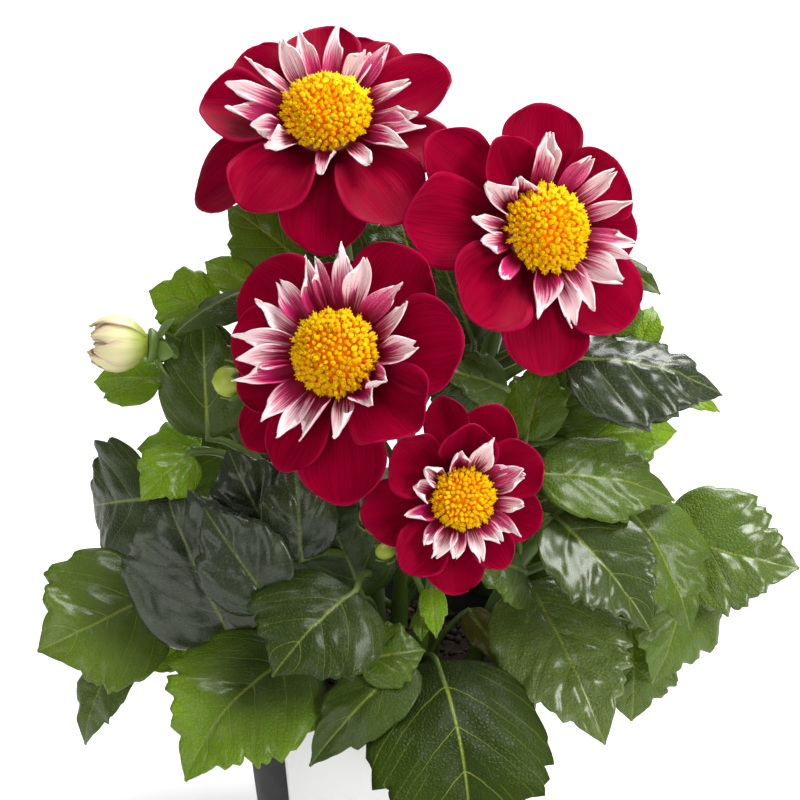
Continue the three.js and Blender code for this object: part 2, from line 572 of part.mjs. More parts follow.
// Leafy stems. Each leaf leaves its stem at the height "at", and faces gives its upper side.
const FRONT = [0, -0.75, 0.65];
const leafyStems = [
  {
    name: 'stem_1', path: [[-6, 16, STEM_FOOT_DEPTH], [-8, 27, 180], [-18, 34, 262]], radii: [4, 2.9],
    bloom: 0,
    leaves: [
      {
        at: 222, base: [-52, 4, 260], tip: [-83, -15, 250], width: 18, faces: [-0.2, -0.4, 0.9],
        fold: -0.5,
      },
      { at: 214, base: [-55, 15, 257], tip: [-73, 28, 263], width: 16, faces: [0, -0.7, 0.7] },
      { at: 232, base: [-35, 28, 262], tip: [-64, 38, 282], width: 33, faces: [0, -0.8, 0.6] },
      { at: 205, base: [12, 34, 245], tip: [2, 48, 281], width: 34, faces: [0.1, -0.9, 0.4] },
    ],
  },
  {
    name: 'stem_2', path: [[14, 8, STEM_FOOT_DEPTH], [24, 16, 170], [44, 20, 245]], radii: [4, 2.9],
    bloom: 1,
    leaves: [
      { at: 160, base: [58, -25, 194], tip: [112, -20, 183], width: 40, faces: [0, -0.5, 0.87] },
      { at: 172, base: [69, 4, 196], tip: [115, 18, 195], width: 32, faces: [0, -0.8, 0.6] },
      {
        at: 205, base: [68, -8, 236], tip: [132, 4, 218], width: 46, faces: [0.1, -0.5, 0.87],
        teeth: 5, fold: -0.3,
      },
      { at: 190, base: [115, 17, 210], tip: [132, 22, 201], width: 7, faces: FRONT },
      { at: 180, base: [53, -5, 200], tip: [61, 5, 231], width: 26, faces: [0, -1, 0.2] },
      { at: 238, base: [88, 22, 264], tip: [106, 15, 254], width: 11, faces: FRONT },
      { at: 212, base: [98, 16, 230], tip: [104, 28, 244], width: 14, faces: FRONT },
      { at: 222, base: [86, 10, 238], tip: [95, 22, 256], width: 18, faces: FRONT },
      { at: 200, base: [46, -7, 222], tip: [18, -21, 237], width: 22, faces: FRONT },
      { at: 202, base: [33, 10, 235], tip: [20, 18, 268], width: 28, faces: [0, -0.95, 0.3] },
      { at: 172, base: [58, 8, 193], tip: [81, 17, 227], width: 38, faces: [0, -0.95, 0.3] },
      { at: 178, base: [34, 3, 213], tip: [17, 0, 230], width: 24, faces: [0, -0.95, 0.3] },
      { at: 125, base: [46, 4, 144], tip: [82, -4, 142], width: 44, faces: [0, -0.8, 0.6] },
    ],
  },
  {
    name: 'stem_3', path: [[-4, -8, STEM_FOOT_DEPTH], [-7, -8, 160], [-13, -14, 215]], radii: [4, 2.9],
    bloom: 2,
    leaves: [
      { at: 130, base: [-44, -58, 154], tip: [-71, -47, 190], width: 36, faces: [-0.1, -0.9, 0.35] },
      { at: 150, base: [-47, -35, 175], tip: [-63, -22, 204], width: 30, faces: [-0.1, -0.9, 0.35] },
      { at: 145, base: [-34, -43, 166], tip: [-37, -33, 207], width: 31, faces: [0.1, -0.95, 0.3] },
      { at: 140, base: [-13, -58, 160], tip: [-44, -90, 141], width: 54, faces: [-0.1, -0.65, 0.75] },
      {
        at: 118, base: [-34, -52, 130], tip: [-78, -88, 95], width: 57, faces: FRONT,
        teeth: 5, arch: 0.12, sweep: 0.08,
      },
      { at: 122, base: [-10, -22, 140], tip: [-28, -19, 186], width: 40, faces: [0, -1, 0.2] },
    ],
    buds: [{ from: 196, at: [-57, -22, 232], faces: [-0.8, -0.3, 0.1], radius: 6.2, height: 12 }],
  },
  {
    name: 'stem_4', path: [[10, -18, STEM_FOOT_DEPTH], [13, -22, 130], [21, -30, 168]], radii: [3.4, 2.4],
    bloom: 3,
    leaves: [
      { at: 108, base: [8, -60, 132], tip: [-31, -84, 99], width: 30, faces: [-0.1, -0.75, 0.65], arch: 0.1 },
      { at: 116, base: [-12, -66, 134], tip: [14, -60, 136], width: 26, faces: [0, -0.8, 0.6] },
      { at: 150, base: [16, -46, 156], tip: [18, -56, 139], width: 11, faces: [0, -0.9, 0.4] },
      { at: 132, base: [13, -47, 146], tip: [12, -56, 138], width: 9, faces: [-0.3, -0.9, 0.4] },
      {
        at: 106, base: [18, -46, 128], tip: [31, -101, 60], width: 70, faces: [0.1, -0.7, 0.7],
        teeth: 5, arch: 0.2, sweep: -0.02,
      },
      { at: 104, base: [31, -16, 132], tip: [47, -32, 113], width: 14, faces: FRONT },
    ],
    buds: [
      { from: 140, at: [0, -42, 169], faces: [-0.5, -0.6, 0.3], radius: 3.2, height: 8 },
      { from: 152, at: [-4, -32, 176], faces: [-0.6, -0.2, 0.7], radius: 4.4, height: 11 },
    ],
  },
  {
    name: 'stem_left', path: [[-24, 2, STEM_FOOT_DEPTH], [-32, 4, 140], [-58, 4, 196], [-86, 1, 237]],
    radii: [4, 2.4],
    leaves: [
      {
        at: 116, base: [-92, -13, 138], tip: [-138, -35, 124], width: 60, faces: [-0.1, -0.75, 0.65],
        sweep: -0.04,
      },
      {
        at: 112, base: [-104, -5, 112], tip: [-125, -12, 70], width: 28, faces: [-0.6, -0.6, 0.5],
        rise: 0.3,
      },
      { at: 110, base: [-74, -5, 116], tip: [-97, -10, 102], width: 20, faces: [-0.3, -0.7, 0.6] },
      { at: 150, base: [-95, 0, 173], tip: [-122, 30, 156], width: 52, faces: [-0.5, -0.75, 0.3] },
      { at: 180, base: [-77, -20, 201], tip: [-96, -34, 188], width: 25, faces: [-0.2, -0.8, 0.6] },
      { at: 204, base: [-62, 20, 220], tip: [-90, 26, 234], width: 26, faces: [0, -1, 0.3], teeth: 2 },
      { at: 176, base: [-75, 5, 192], tip: [-101, 15, 189], width: 22, faces: [0, -0.5, 0.85] },
      { at: 186, base: [-71, -8, 202], tip: [-73, 8, 248], width: 36, faces: [0, -1, 0.3] },
      { at: 222, base: [-68, 12, 247], tip: [-95, 22, 253], width: 27, faces: FRONT },
      { at: 212, base: [-89, 3, 222], tip: [-117, 12, 219], width: 27, faces: [0, -0.5, 0.85] },
      {
        at: 128, base: [-61, -47, 133], tip: [-89, -30, 195], width: 62, faces: [-0.25, -0.9, 0.35],
        broad: 0.46,
      },
    ],
  },
  {
    name: 'stem_right', path: [[28, -2, STEM_FOOT_DEPTH], [42, -6, 130], [66, -10, 168], [90, -8, 182]],
    radii: [4, 2],
    leaves: [
      { at: 120, base: [52, -20, 144], tip: [82, -66, 98], width: 53, faces: [0.1, -0.7, 0.7], teeth: 5 },
      { at: 132, base: [53, -24, 152], tip: [28, -46, 166], width: 38, faces: [0.1, -0.6, 0.8] },
      { at: 150, base: [45, -20, 181], tip: [60, -30, 187], width: 14, faces: FRONT },
      {
        at: 156, base: [64, -32, 179], tip: [101, -62, 146], width: 42, faces: [0.1, -0.6, 0.8],
        teeth: 5, fold: 0.25,
      },
      { at: 176, base: [92, -20, 180], tip: [118, -45, 138], width: 44, faces: [0.5, -0.7, 0.5] },
      { at: 140, base: [116, -8, 151], tip: [105, -34, 108], width: 44, faces: [0.5, -0.8, 0.3] },
      {
        at: 170, base: [108, -1, 160], tip: [162, -12, 149], width: 50, faces: FRONT,
        teeth: 5, sweep: 0.06,
      },
      { at: 118, base: [95, -12, 124], tip: [97, -24, 86], width: 37, faces: [0.3, -0.9, 0.3] },
      { at: 124, base: [72, 10, 128], tip: [100, 2, 98], width: 34, faces: FRONT },
    ],
  },
  {
    name: 'stem_back', path: [[2, 32, STEM_FOOT_DEPTH], [6, 44, 150], [4, 50, 215], [2, 54, 245]],
    radii: [4, 2],
    leaves: [
      { at: 118, base: [44, 54, 138], tip: [84, 84, 122], width: 44, faces: [0.4, 0.4, 0.8], teeth: 3 },
      { at: 130, base: [14, 72, 148], tip: [20, 118, 132], width: 46, faces: [0, 0.5, 0.85], teeth: 3 },
      { at: 122, base: [-30, 60, 140], tip: [-62, 94, 124], width: 44, faces: [-0.3, 0.4, 0.8], teeth: 3 },
      { at: 150, base: [-50, 46, 168], tip: [-92, 56, 152], width: 40, faces: [-0.4, 0.2, 0.85], teeth: 3 },
      { at: 165, base: [44, 50, 190], tip: [86, 58, 176], width: 40, faces: [0.4, 0.2, 0.85], teeth: 3 },
      { at: 178, base: [8, 74, 200], tip: [12, 112, 188], width: 38, faces: [0, 0.5, 0.85], teeth: 2 },
      { at: 190, base: [-32, 58, 212], tip: [-66, 72, 204], width: 34, faces: [-0.3, 0.4, 0.8], teeth: 2 },
      { at: 236, base: [14, 64, 252], tip: [30, 84, 262], width: 22, faces: [0.3, 0.6, 0.8], teeth: 2 },
      { at: 240, base: [-8, 64, 254], tip: [-26, 82, 262], width: 22, faces: [-0.3, 0.6, 0.8], teeth: 2 },
      { at: 124, base: [-15, 46, 140], tip: [-58, 44, 172], width: 48, faces: [0, -1, 0.15], teeth: 2 },
      { at: 132, base: [20, 46, 150], tip: [60, 40, 186], width: 46, faces: [0, -1, 0.15], teeth: 2 },
      { at: 160, base: [-8, 52, 182], tip: [-34, 48, 236], width: 42, faces: [0, -1, 0.15], teeth: 2 },
      { at: 172, base: [16, 54, 196], tip: [40, 46, 246], width: 50, faces: [0, -1, 0.15], teeth: 2 },
      { at: 104, base: [-14, 44, 112], tip: [-56, 38, 128], width: 40, faces: [0, -1, 0.3], teeth: 2 },
      { at: 106, base: [22, 44, 126], tip: [64, 34, 142], width: 38, faces: [0, -1, 0.3], teeth: 2 },
      { at: 150, base: [-36, 34, 178], tip: [-58, 30, 226], width: 34, faces: [0, -1, 0.2], teeth: 2 },
      { at: 136, base: [-50, 36, 170], tip: [-92, 34, 188], width: 44, faces: [0, -1, 0.3], teeth: 2 },
      { at: 112, base: [50, 34, 152], tip: [94, 30, 174], width: 44, faces: [0, -1, 0.3], teeth: 2 },
      { at: 222, base: [-4, 50, 246], tip: [-34, 46, 264], width: 40, faces: [0, -1, 0.3], teeth: 2 },
    ],
  },
];

function stemCurve(stem) {
  const points = stem.path.map(vec);
  if (stem.bloom !== undefined) {
    const matrix = bloomMatrix(blooms[stem.bloom]);
    points.push(new THREE.Vector3(0, 0, -12).applyMatrix4(matrix));
    points.push(new THREE.Vector3(0, 0, -4).applyMatrix4(matrix));
  }
  return new THREE.CatmullRomCurve3(points, false, 'centripetal');
}

function stemTube(stem, extra) {
  const radii = [];
  for (let i = 0; i <= STEM_STEPS; i += 1) {
    radii.push(THREE.MathUtils.lerp(stem.radii[0], stem.radii[1], i / STEM_STEPS) + extra);
  }
  return tube(stemCurve(stem).getPoints(STEM_STEPS), radii, STEM_SIDES);
}

function pointAtHeight(curve, height) {
  let best = curve.getPoint(0);
  for (let i = 0; i <= 200; i += 1) {
    const p = curve.getPoint(i / 200);
    if (Math.abs(p.z - height) < Math.abs(best.z - height)) {
      best = p;
    }
  }
  return best;
}

function leafyStem(stem) {
  const curve = stemCurve(stem);
  const solids = [stemTube(stem, 0)];
  for (const leaf of stem.leaves) {
    solids.push(leafSolid(pointAtHeight(curve, leaf.at), leaf));
  }
  for (const item of stem.buds ?? []) {
    solids.push(...bud(pointAtHeight(curve, item.from), item));
  }
  if (stem.bloom !== undefined) {
    solids.push(...receptacle(blooms[stem.bloom]));
  }
  if (stem.name === 'stem_left') {
    solids.push(...budCalyx());
  }
  return solids;
}

// Half-open cream bud at the end of the left stem, with its green calyx
const BUD_HEAD = { head: [-94, 0, 238], faces: [-0.99, -0.12, 0.1] };

function budCalyx() {
  const matrix = bloomMatrix(BUD_HEAD);
  const cup = turned([[0, 0], [6.5, 0], [7, -1.5], [4, -6], [0, -8]].reverse(), 9);
  const bracts = bractRing(5, 0.1, [3.5, -4], [12, -10], 7.5);
  return [cup, ...bracts].map((solid) => placed(solid, matrix));
}

function budPetals() {
  const solids = [turned([[0, GAP], [4.6, GAP], [4.4, 6], [3.8, 13], [0, 17]], 7)];
  for (let i = 0; i < 6; i += 1) {
    const surface = petalSurface({
      angle: 60 * i,
      length: 22 + (i % 2),
      width: 12,
      slope: [30 + 6 * (i % 2), 112 + 4 * (i % 2)],
      cup: 0.3,
      rounding: 0.1,
      from: [3.4, 1.4],
      outline: rayOutline,
    });
    solids.push(sheet(surface, gridOf([-1, 0, 1], [0, 0.5, 1]), () => RAY_THICKNESS));
  }
  return solids;
}

// Pot, soil and label
function wallRadius(z) {
  return THREE.MathUtils.mapLinear(z, 1.2, POT_HEIGHT - POT_LIP_HEIGHT, POT_FOOT_RADIUS, POT_BODY_RADIUS);
}

function pot() {
  const lipFoot = POT_HEIGHT - POT_LIP_HEIGHT;
  const body = turned([
    [0, 0],
    [POT_FOOT_RADIUS - 1.2, 0],
    [POT_FOOT_RADIUS, 1.2],
    [POT_BODY_RADIUS, lipFoot],
    [POT_RIM_RADIUS - 0.6, lipFoot],
    [POT_RIM_RADIUS, lipFoot + 0.8],
    [POT_RIM_RADIUS, POT_HEIGHT - 0.8],
    [POT_RIM_RADIUS - 0.8, POT_HEIGHT],
    [POT_RIM_RADIUS - 2.2, POT_HEIGHT],
    [POT_RIM_RADIUS - 2.6, lipFoot + 1.6],
    [POT_BODY_RADIUS - POT_WALL, lipFoot - 1],
    [wallRadius(POT_FLOOR) - POT_WALL, POT_FLOOR],
    [0, POT_FLOOR],
  ], POT_SEGMENTS);
  let result = body;
  for (let i = 0; i < DRAIN_SLOTS; i += 1) {
    const slot = new THREE.BoxGeometry(14, 5, 8);
    slot.translate(0, DRAIN_RADIUS, 0);
    slot.rotateZ((i / DRAIN_SLOTS) * 2 * Math.PI + 0.26);
    result = result.subtract(solidFromGeometry(slot));
  }
  return result;
}

function soil() {
  const inset = POT_WALL + GAP;
  const rings = [50, 36, 22, 9];
  const profile = [[0, POT_FLOOR + GAP], [wallRadius(POT_FLOOR) - inset - 0.1, POT_FLOOR + GAP]];
  profile.push([wallRadius(SOIL_LEVEL) - inset - 0.1, SOIL_LEVEL - 1.5]);
  for (const r of rings) {
    profile.push([r, SOIL_LEVEL]);
  }
  profile.push([0, SOIL_LEVEL]);
  const lathe = new THREE.LatheGeometry(profile.map((p) => new THREE.Vector2(p[0], p[1])), SOIL_SEGMENTS);
  lathe.rotateX(Math.PI / 2);
  const position = lathe.getAttribute('position');
  for (let i = 0; i < position.count; i += 1) {
    if (position.getZ(i) > SOIL_LEVEL - 0.5) {
      const [x, y] = [position.getX(i), position.getY(i)];
      const bumps = Math.sin(x * 0.31 + 1) * Math.cos(y * 0.27) + 0.6 * Math.sin(x * 0.7 - y * 0.53);
      position.setZ(i, SOIL_LEVEL + SOIL_RELIEF * bumps * 0.6);
    }
  }
  let result = solidFromGeometry(lathe);
  for (const stem of leafyStems) {
    const sunk = { ...stem, path: stem.path.map((p, i) => (i === 0 ? [p[0], p[1], p[2] - 0.5] : p)) };
    result = result.subtract(stemTube(sunk, 0.4));
  }
  return result.simplify(FACET_TOLERANCE);
}

function label() {
  const half = THREE.MathUtils.degToRad(LABEL_HALF_ANGLE);
  const surface = (u, v) => {
    const z = THREE.MathUtils.lerp(LABEL_BOTTOM, LABEL_TOP, v);
    const r = wallRadius(z) + GAP + LABEL_THICKNESS;
    return new THREE.Vector3(r * Math.sin(u * half), -r * Math.cos(u * half), z);
  };
  const across = [];
  for (let i = 0; i <= 10; i += 1) {
    across.push(i / 5 - 1);
  }
  return sheet(surface, gridOf(across, [0, 1]), () => LABEL_THICKNESS);
}

// Assembly
const pottedDahlia = new THREE.Group();
pottedDahlia.add(toMesh(pot(), 'pot', 0x3a3939, 0.55));
pottedDahlia.add(toMesh(soil(), 'soil', 0x1c130e, 0.95));
pottedDahlia.add(toMesh(label(), 'label', 0xf4f4f2, 0.6));

const stemColors = {
  stem_1: 0x3f5a24, stem_2: 0x44602c, stem_3: 0x36482c, stem_4: 0x3a5a22,
  stem_left: 0x46612e, stem_right: 0x48633a, stem_back: 0x3e5830,
};
for (const stem of leafyStems) {
  pottedDahlia.add(toMesh(fused(leafyStem(stem)), stem.name, stemColors[stem.name], 0.5));
}

for (const bloom of blooms) {
  const group = new THREE.Group();
  bloomMatrix(bloom).decompose(group.position, group.quaternion, group.scale);
  group.add(toMesh(rays(bloom), `${bloom.name}_rays`, 0xa30030, 0.55));
  group.add(toMesh(collar(bloom), `${bloom.name}_collar`, 0xe7a6c0, 0.6));
  group.add(toMesh(disc(bloom), `${bloom.name}_disc`, 0xf5a800, 0.7));
  pottedDahlia.add(group);
}

const budGroup = new THREE.Group();
bloomMatrix(BUD_HEAD).decompose(budGroup.position, budGroup.quaternion, budGroup.scale);
budGroup.add(toMesh(fused(budPetals()), 'cream_bud', 0xe9dfb6, 0.6));
pottedDahlia.add(budGroup);

export default pottedDahlia;
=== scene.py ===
# Potted collarette dahlia: a nursery pot of soil with seven leafy stems, four open blooms and a
# half-open bud. Meshes are shaped in millimetres and scaled to metres when a piece is finished.
import math
import random

import bmesh
import bpy
from mathutils import Matrix, Vector, noise
from mathutils.geometry import interpolate_bezier


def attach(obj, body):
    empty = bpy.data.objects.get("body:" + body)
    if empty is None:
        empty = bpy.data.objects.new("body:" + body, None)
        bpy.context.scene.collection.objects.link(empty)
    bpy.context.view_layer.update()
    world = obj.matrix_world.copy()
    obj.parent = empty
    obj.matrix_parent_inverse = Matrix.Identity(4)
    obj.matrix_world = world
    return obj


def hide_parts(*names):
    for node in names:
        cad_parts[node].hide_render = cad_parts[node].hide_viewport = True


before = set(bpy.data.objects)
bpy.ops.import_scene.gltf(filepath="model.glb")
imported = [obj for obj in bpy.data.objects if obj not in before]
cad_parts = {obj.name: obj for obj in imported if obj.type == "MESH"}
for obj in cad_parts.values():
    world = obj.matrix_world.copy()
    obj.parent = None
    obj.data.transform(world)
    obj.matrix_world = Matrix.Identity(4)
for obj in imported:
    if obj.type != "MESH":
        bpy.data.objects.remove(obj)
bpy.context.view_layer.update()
MM = 0.001

# Camera, light and floor
# A long lens a good metre away looks down on the label side. A soft light hangs over the plant, one
# behind it and one at the right give the leaves their shine, one at the left front fills the shade,
# and the floor is a plain pale sheet. A light is its name, place, size and power.
CAMERA_PLACE = (0.0040, -1.3514, 0.7720)
CAMERA_PITCH = 67.6
CAMERA_LENS = 168.2
SENSOR_WIDTH = 36
FLOOR_SIZE = 5.0
LIGHTS = [
    ("key", (0.55, 0.10, 1.75), 0.70, 28.0),
    ("back", (0.35, 1.30, 1.40), 1.2, 30.0),
    ("side", (1.30, -0.75, 0.95), 0.6, 16.0),
    ("fill", (-0.80, -1.40, 0.80), 1.2, 8.0),
]
LIGHT_TARGET = Vector((0, 0, 0.18))
WORLD_LIGHT = 0.24


def placed(name, data):
    """New object of some data, in the scene."""
    thing = bpy.data.objects.new(name, data)
    bpy.context.scene.collection.objects.link(thing)
    return thing


def mesh_of(shell, name="draft"):
    """Mesh of a bmesh, which is used up."""
    mesh = bpy.data.meshes.new(name)
    shell.to_mesh(mesh)
    shell.free()
    return mesh


camera_data = bpy.data.cameras.new("camera")
camera_data.lens = CAMERA_LENS
camera_data.sensor_width = SENSOR_WIDTH
camera = placed("camera", camera_data)
camera.location = CAMERA_PLACE
camera.rotation_euler = (math.radians(CAMERA_PITCH), 0, 0)
bpy.context.scene.camera = camera
bpy.context.scene.view_settings.view_transform = "Standard"

for name, place, size, power in LIGHTS:
    lamp = bpy.data.lights.new(name, "AREA")
    lamp.size = size
    lamp.energy = power
    lamp_object = placed(name, lamp)
    lamp_object.location = place
    lamp_object.rotation_euler = (LIGHT_TARGET - Vector(place)).to_track_quat("-Z", "Y").to_euler()

world = bpy.data.worlds.new("studio")
world.use_nodes = True
background = world.node_tree.nodes["Background"]
background.inputs["Color"].default_value = (1, 1, 1, 1)
background.inputs["Strength"].default_value = WORLD_LIGHT
bpy.context.scene.world = world


class Wire:
    """A socket of a finish, on which arithmetic adds Math nodes."""

    def __init__(self, finish, socket):
        self.finish = finish
        self.socket = socket

    def math(self, operation, *values):
        return self.finish.node("ShaderNodeMath", {"operation": operation}, dict(enumerate(values)))

    def __add__(self, other):
        return self.math("ADD", self, other)

    __radd__ = __add__

    def __sub__(self, other):
        return self.math("SUBTRACT", self, other)

    def __rsub__(self, other):
        return self.math("SUBTRACT", other, self)

    def __mul__(self, other):
        return self.math("MULTIPLY", self, other)

    __rmul__ = __mul__

    def __abs__(self):
        return self.math("ABSOLUTE", self)

    def __pow__(self, other):
        return self.math("POWER", self, other)

    def smooth(self, low, high, start=0.0, end=1.0):
        """Soft step that goes from start to end while the value goes from low to high."""
        inputs = {"Value": self, "From Min": low, "From Max": high, "To Min": start, "To Max": end}
        return self.finish.node("ShaderNodeMapRange", {"interpolation_type": "SMOOTHSTEP"}, inputs)

    def off_whole(self):
        """Distance to the nearest whole number."""
        return self.math("PINGPONG", self, 0.5)


class Finish:
    """A material and the few ways in which its nodes are added."""

    def __init__(self, name, **constants):
        self.material = bpy.data.materials.new(name)
        self.material.use_nodes = True
        self.tree = self.material.node_tree
        self.surface = self.tree.nodes["Principled BSDF"]
        for socket, value in constants.items():
            self.surface.inputs[socket.replace("_", " ")].default_value = value

    def node(self, kind, settings, inputs, output=0):
        made = self.tree.nodes.new(kind)
        for key, value in settings.items():
            setattr(made, key, value)
        for key, value in inputs.items():
            if isinstance(value, Wire):
                self.tree.links.new(value.socket, made.inputs[key])
            else:
                made.inputs[key].default_value = (*value, 1) if made.inputs[key].type == "RGBA" else value
        return Wire(self, made.outputs[output])

    def object_place(self):
        return self.node("ShaderNodeTexCoord", {}, {}, "Object")

    def attribute(self, name):
        vector = self.node("ShaderNodeAttribute", {"attribute_name": name}, {}, "Vector")
        return [self.node("ShaderNodeSeparateXYZ", {}, {0: vector}, axis) for axis in "XYZ"]

    def noise(self, vector, scale, detail=2.0, roughness=0.5):
        inputs = {"Vector": vector, "Scale": scale, "Detail": detail, "Roughness": roughness}
        return self.node("ShaderNodeTexNoise", {}, inputs, "Fac")

    def mix(self, factor, first, second, blend="MIX"):
        settings = {"data_type": "RGBA", "blend_type": blend}
        return self.node("ShaderNodeMix", settings, {0: factor, 6: first, 7: second}, 2)

    def vector(self, x, y, z):
        return self.node("ShaderNodeCombineXYZ", {}, {0: x, 1: y, 2: z})

    def bump(self, height, strength, distance):
        inputs = {"Height": height, "Strength": strength, "Distance": distance}
        return self.node("ShaderNodeBump", {}, inputs)

    def use(self, **inputs):
        for socket, wire in inputs.items():
            self.tree.links.new(wire.socket, self.surface.inputs[socket.replace("_", " ")])
        return self.material


floor_finish = Finish("floor_paper", Base_Color=(0.92, 0.92, 0.92, 1), Roughness=0.9)
floor_shade = floor_finish.noise(floor_finish.object_place(), 2.0)
floor_color = floor_finish.mix(floor_shade, (0.90, 0.90, 0.90), (0.93, 0.93, 0.93))
floor_shell = bmesh.new()
bmesh.ops.create_grid(floor_shell, x_segments=1, y_segments=1, size=FLOOR_SIZE / 2)
floor = placed("floor", mesh_of(floor_shell, "floor"))
floor.data.materials.append(floor_finish.use(Base_Color=floor_color))

# Pot
# A thin-walled round nursery pot moulded in charcoal plastic, with a turned-over rim and six drain
# slots in its floor. The wall tapers to the foot and is matte with a faint grain from the mould.
POT_FOOT = 50.0
FOOT_ROUND = 1.2
POT_BODY = 61.6
POT_RIM = 65.0
POT_HEIGHT = 114.0
POT_LIP = 8.0
POT_WALL = 1.5
POT_FLOOR = 1.8
POT_STEPS = 96
DRAIN_SLOTS = 6
DRAIN_SIZE = (14, 5, 8)
DRAIN_RADIUS = 40.0
DRAIN_TURN = 0.26
SHARP_ANGLE = 40
LIP_FOOT = POT_HEIGHT - POT_LIP


def wall_radius(height):
    """Outer radius of the pot's tapering wall at a height."""
    return POT_FOOT + (POT_BODY - POT_FOOT) * (height - FOOT_ROUND) / (LIP_FOOT - FOOT_ROUND)


def spun(profile, steps):
    """Shell made by spinning (radius, height) points about Z."""
    shell = bmesh.new()
    verts = [shell.verts.new((r, 0, z)) for r, z in profile]
    edges = [shell.edges.new(pair) for pair in zip(verts, verts[1:])]
    turn = {"cent": (0, 0, 0), "axis": (0, 0, 1), "angle": 2 * math.pi, "steps": steps}
    bmesh.ops.spin(shell, geom=verts + edges, use_merge=True, **turn)
    bmesh.ops.remove_doubles(shell, verts=shell.verts, dist=0.001)
    bmesh.ops.dissolve_degenerate(shell, edges=shell.edges, dist=0.001)
    bmesh.ops.recalc_face_normals(shell, faces=shell.faces)
    return shell


def finished(shell, name, finishes, slot, *nodes):
    """Turns a bmesh in millimetres into a piece of the part that stands for the named CAD nodes."""
    bmesh.ops.scale(shell, vec=(MM, MM, MM), verts=shell.verts)
    for face in shell.faces:
        face.smooth = True
    piece = placed(name, mesh_of(shell, name))
    for material in finishes:
        piece.data.materials.append(material)
    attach(piece, "root")
    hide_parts(*nodes)
    return piece


def modified(shell, kind, **settings):
    """Passes a bmesh through one modifier and gives the result as a new bmesh."""
    mesh = mesh_of(shell)
    draft = placed("draft", mesh)
    modifier = draft.modifiers.new("modifier", kind)
    for key, value in settings.items():
        setattr(modifier, key, value)
    depsgraph = bpy.context.evaluated_depsgraph_get()
    result = bmesh.new()
    result.from_mesh(draft.evaluated_get(depsgraph).to_mesh())
    bpy.data.objects.remove(draft)
    bpy.data.meshes.remove(mesh)
    return result


pot_finish = Finish("charcoal_plastic", Specular_IOR_Level=0.22)
place = pot_finish.object_place()
grain = pot_finish.noise(place, 900.0, 3.0)
scuffs = pot_finish.noise(place, 35.0, 4.0, 0.65)
pot_color = pot_finish.mix(scuffs, (0.020, 0.019, 0.020), (0.032, 0.031, 0.032))
pot_finish.use(
    Base_Color=pot_color,
    Roughness=scuffs.smooth(0.3, 0.7, 0.55, 0.72),
    Normal=pot_finish.bump(grain, 0.25, 0.0003),
)

pot_profile = [
    (0, 0), (POT_FOOT - 2.0, 0), (POT_FOOT - 0.8, 0.3), (POT_FOOT, FOOT_ROUND),
    (wall_radius(LIP_FOOT - 14), LIP_FOOT - 14), (wall_radius(LIP_FOOT - 14) + 0.5, LIP_FOOT - 13.2),
    (POT_BODY, LIP_FOOT - 0.5), (POT_BODY + 0.4, LIP_FOOT), (POT_RIM - 0.7, LIP_FOOT),
    (POT_RIM - 0.1, LIP_FOOT + 0.4), (POT_RIM, LIP_FOOT + 1.0), (POT_RIM, POT_HEIGHT - 1.0),
    (POT_RIM - 0.3, POT_HEIGHT - 0.3), (POT_RIM - 0.9, POT_HEIGHT), (POT_RIM - 1.7, POT_HEIGHT),
    (POT_RIM - 2.2, POT_HEIGHT - 0.5), (POT_RIM - 2.6, LIP_FOOT + 1.6), (POT_BODY - POT_WALL, LIP_FOOT - 1),
    (wall_radius(POT_FLOOR) - POT_WALL, POT_FLOOR + 0.8), (wall_radius(POT_FLOOR) - POT_WALL - 1, POT_FLOOR),
    (0, POT_FLOOR),
]
drain = bmesh.new()
for turn in range(DRAIN_SLOTS):
    cube = bmesh.ops.create_cube(drain, size=1)["verts"]
    bmesh.ops.scale(drain, vec=DRAIN_SIZE, verts=cube)
    bmesh.ops.translate(drain, vec=(0, DRAIN_RADIUS, 0), verts=cube)
    spot = Matrix.Rotation(math.radians(360 / DRAIN_SLOTS * turn) + DRAIN_TURN, 3, "Z")
    bmesh.ops.rotate(drain, cent=(0, 0, 0), matrix=spot, verts=cube)
drain_slots = placed("drain", mesh_of(drain))
pot_shell = modified(spun(pot_profile, POT_STEPS), "BOOLEAN", object=drain_slots, solver="EXACT")
bpy.data.objects.remove(drain_slots)
pot = finished(pot_shell, "nursery_pot", [pot_finish.material], "pot_plastic", "pot")
for polygon in pot.data.polygons:
    polygon.use_smooth = polygon.normal.z > -0.9 or polygon.center.z > POT_FLOOR * MM * 2
pot.data.set_sharp_from_angle(angle=math.radians(SHARP_ANGLE))

# Soil
# Damp near-black peat fills the pot to a finger under its rim. Its top is uneven and littered with
# crumbs, brown bark chips and short root fibres.
SOIL_LEVEL = 99.0
SOIL_GAP = 0.4
SOIL_SEED = 7
SOIL_RINGS = 34
SOIL_STEPS = 110
CRUMBS = 520
CHIPS = 130
FIBRES = 60
ANY_TURN = 6.3
chance = random.Random(SOIL_SEED)
noise.seed_set(SOIL_SEED)


def soil_height(x, y):
    """Height of the uneven soil at a place."""
    bumps = math.sin(x * 0.31 + 1) * math.cos(y * 0.27) + 0.6 * math.sin(x * 0.7 - y * 0.53)
    fine = noise.noise(Vector((x * 0.35, y * 0.35, 3))) + 0.5 * noise.noise(Vector((x, y, 8)))
    return SOIL_LEVEL + bumps + 1.4 * fine


